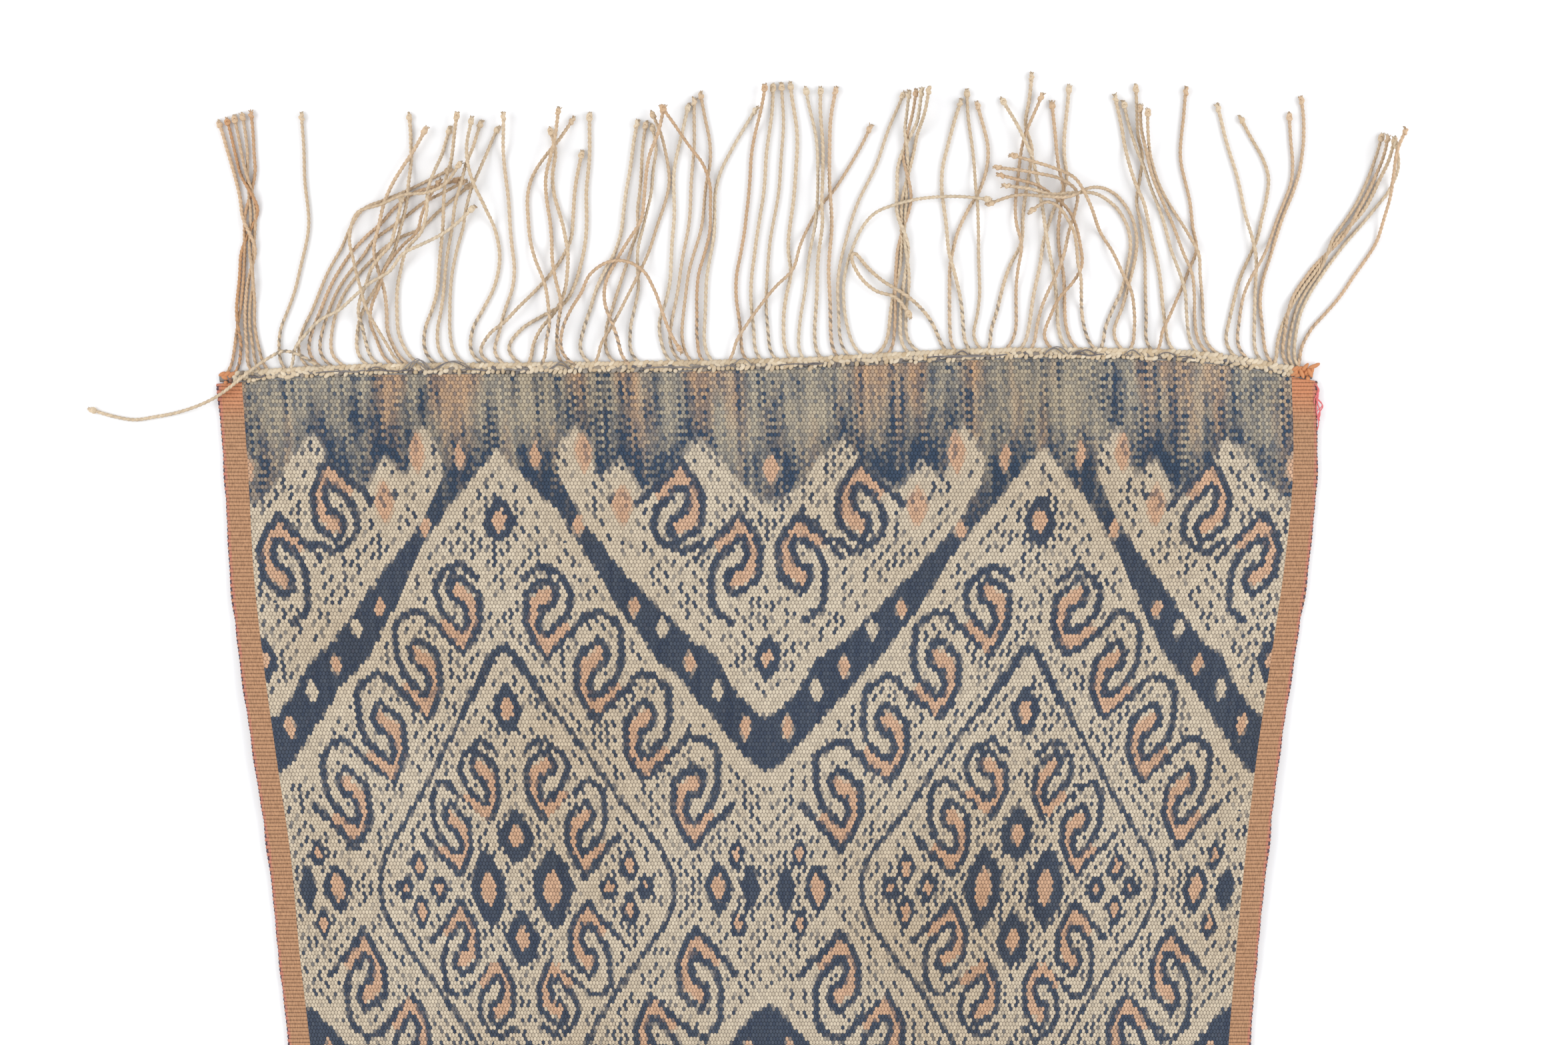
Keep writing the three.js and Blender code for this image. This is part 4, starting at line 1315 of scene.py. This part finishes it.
class FringeSettings(bpy.types.PropertyGroup):
    """The heading, the cords and their knots."""

    cord: size_property("Cord", "Thickness of a plied cord", 0.00178, 0.001, 0.003)
    pitch: size_property("Lay", "Length of one turn of a cord's two plies", 0.0038, 0.002, 0.01)
    wander: size_property("Wander", "How far a cord wavers as it lies", 0.0008, 0, 0.003)
    sweep: size_property("Sweep", "How far a cord's root is swept aside", 0.0022, 0, 0.005)
    seed: bpy.props.IntProperty(
        name="Seed", description="Which draw of small differences is used", default=11, min=0
    )
    cream: colour_property("Cream", "Palest yarn", 218, 204, 181)
    brown: colour_property("Brown", "Darkest yarn", 194, 170, 140)


class StageSettings(bpy.types.PropertyGroup):
    """The floor, the lights and the camera."""

    height: size_property("Camera height", "How high the camera looks down from", 1.3339, 0.5, 4)
    floor: bpy.props.FloatVectorProperty(
        name="Floor",
        description="The floor's colour",
        default=(0.855, 0.86, 0.875),
        min=0,
        max=1,
        size=3,
        subtype="COLOR",
    )
    side_light: bpy.props.FloatProperty(
        name="Side lights",
        description="Power of each of the two soft side lights",
        default=9,
        min=0,
        max=200,
        unit="POWER",
    )
    sky: bpy.props.FloatProperty(
        name="Fill", description="Strength of the even white fill", default=0.72, min=0, max=5
    )


def dress(piece, node=None):
    """Hangs a piece under the root body and, where a node is given, hides the model's solid that
    the piece stands in for.
    """
    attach(piece, "root")
    if node:
        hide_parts(node)


class IKAT_OT_add_cloth(bpy.types.Operator):
    """Weaves the cloth and dyes its pattern"""

    bl_idname = "ikat.add_cloth"
    bl_label = "Woven cloth"

    def execute(self, context):
        settings = context.scene.ikat_cloth
        cloth = weave_cloth(settings, ikat_finish(settings))
        dress(cloth, CLOTH_NODE)
        return {"FINISHED"}


class IKAT_OT_add_heading(bpy.types.Operator):
    """Twines the heading over the ends of the warp"""

    bl_idname = "ikat.add_heading"
    bl_label = "Twined heading"

    def execute(self, context):
        settings = context.scene.ikat_fringe
        dress(twine_heading(settings, heading_finish(settings)), FRINGE_NODE)
        return {"FINISHED"}


class IKAT_OT_add_fringe(bpy.types.Operator):
    """Plies the fringe cords and knots their ends"""

    bl_idname = "ikat.add_fringe"
    bl_label = "Cords and knots"

    def execute(self, context):
        settings = context.scene.ikat_fringe
        for piece in ply_cords(settings, cord_finish(settings)):
            dress(piece, FRINGE_NODE)
        return {"FINISHED"}


class IKAT_OT_add_threads(bpy.types.Operator):
    """Adds the loose ends of dyed weft"""

    bl_idname = "ikat.add_threads"
    bl_label = "Loose threads"

    def execute(self, context):
        dress(loose_threads(context.scene.ikat_fringe, thread_finish()))
        return {"FINISHED"}


class IKAT_OT_add_stage(bpy.types.Operator):
    """Sets the floor, the soft lights and the camera"""

    bl_idname = "ikat.add_stage"
    bl_label = "Floor, lights and camera"

    def execute(self, context):
        settings = context.scene.ikat_stage
        bpy.ops.object.select_all(action="DESELECT")
        bpy.ops.mesh.primitive_plane_add(size=1)
        bpy.ops.object.mode_set(mode="EDIT")
        bpy.ops.mesh.select_all(action="SELECT")
        bpy.ops.transform.resize(value=(FLOOR_WIDTH, FLOOR_WIDTH, 1))
        bpy.ops.transform.translate(value=(0, 0, -FLOOR_DROP))
        bpy.ops.object.mode_set(mode="OBJECT")
        floor = settle("floor")
        floor.data.materials.append(floor_finish(settings))

        middle = Vector(MIDDLE_OF_VIEW)
        for name, side in (("left_softbox", -1), ("right_softbox", 1)):
            place = middle + Vector((side * LIGHT_ASIDE, 0, LIGHT_HEIGHT))
            bpy.ops.object.light_add(type="AREA", location=place)
            light = bpy.context.object
            light.name = name
            light.rotation_euler = (middle - light.location).to_track_quat("-Z", "Y").to_euler()
            light.data.shape = "RECTANGLE"
            light.data.size, light.data.size_y = LIGHT_SIZE
            light.data.energy = settings.side_light

        world = bpy.data.worlds.new("even fill")
        world.use_nodes = True
        background = world.node_tree.nodes["Background"]
        background.inputs["Color"].default_value = (1, 1, 1, 1)
        background.inputs["Strength"].default_value = settings.sky
        context.scene.world = world
        context.scene.view_settings.view_transform = "Standard"
        context.scene.view_settings.look = "None"

        bpy.ops.object.camera_add(location=(middle.x, middle.y, settings.height))
        camera = bpy.context.object
        camera.name = "camera_above"
        camera.data.lens = LENS
        camera.data.sensor_width = 36
        camera.data.clip_end = 100
        context.scene.camera = camera
        return {"FINISHED"}


class IKAT_PT_panel(bpy.types.Panel):
    """Lists the cloth's pieces and their settings"""

    bl_idname = "IKAT_PT_panel"
    bl_label = "Ikat Cloth"
    bl_space_type = "VIEW_3D"
    bl_region_type = "UI"
    bl_category = "Ikat Cloth"

    def draw(self, context):
        layout = self.layout
        for title, settings, operators in PANEL_ROWS:
            box = layout.box()
            box.label(text=title)
            group = getattr(context.scene, settings)
            for name in group.__annotations__:
                box.prop(group, name)
            for operator in operators:
                box.operator(operator.bl_idname)


PANEL_ROWS = (
    ("Cloth", "ikat_cloth", (IKAT_OT_add_cloth,)),
    ("Fringe", "ikat_fringe", (IKAT_OT_add_heading, IKAT_OT_add_fringe, IKAT_OT_add_threads)),
    ("Stage", "ikat_stage", (IKAT_OT_add_stage,)),
)

CLASSES = (
    ClothSettings,
    FringeSettings,
    StageSettings,
    IKAT_OT_add_cloth,
    IKAT_OT_add_heading,
    IKAT_OT_add_fringe,
    IKAT_OT_add_threads,
    IKAT_OT_add_stage,
    IKAT_PT_panel,
)


def register():
    for each in CLASSES:
        bpy.utils.register_class(each)
    bpy.types.Scene.ikat_cloth = bpy.props.PointerProperty(type=ClothSettings)
    bpy.types.Scene.ikat_fringe = bpy.props.PointerProperty(type=FringeSettings)
    bpy.types.Scene.ikat_stage = bpy.props.PointerProperty(type=StageSettings)


def unregister():
    del bpy.types.Scene.ikat_stage
    del bpy.types.Scene.ikat_fringe
    del bpy.types.Scene.ikat_cloth
    for each in reversed(CLASSES):
        bpy.utils.unregister_class(each)


def main():
    register()
    bpy.ops.ikat.add_stage()
    bpy.ops.ikat.add_cloth()
    bpy.ops.ikat.add_heading()
    bpy.ops.ikat.add_fringe()
    bpy.ops.ikat.add_threads()


if __name__ == "__main__":
    main()
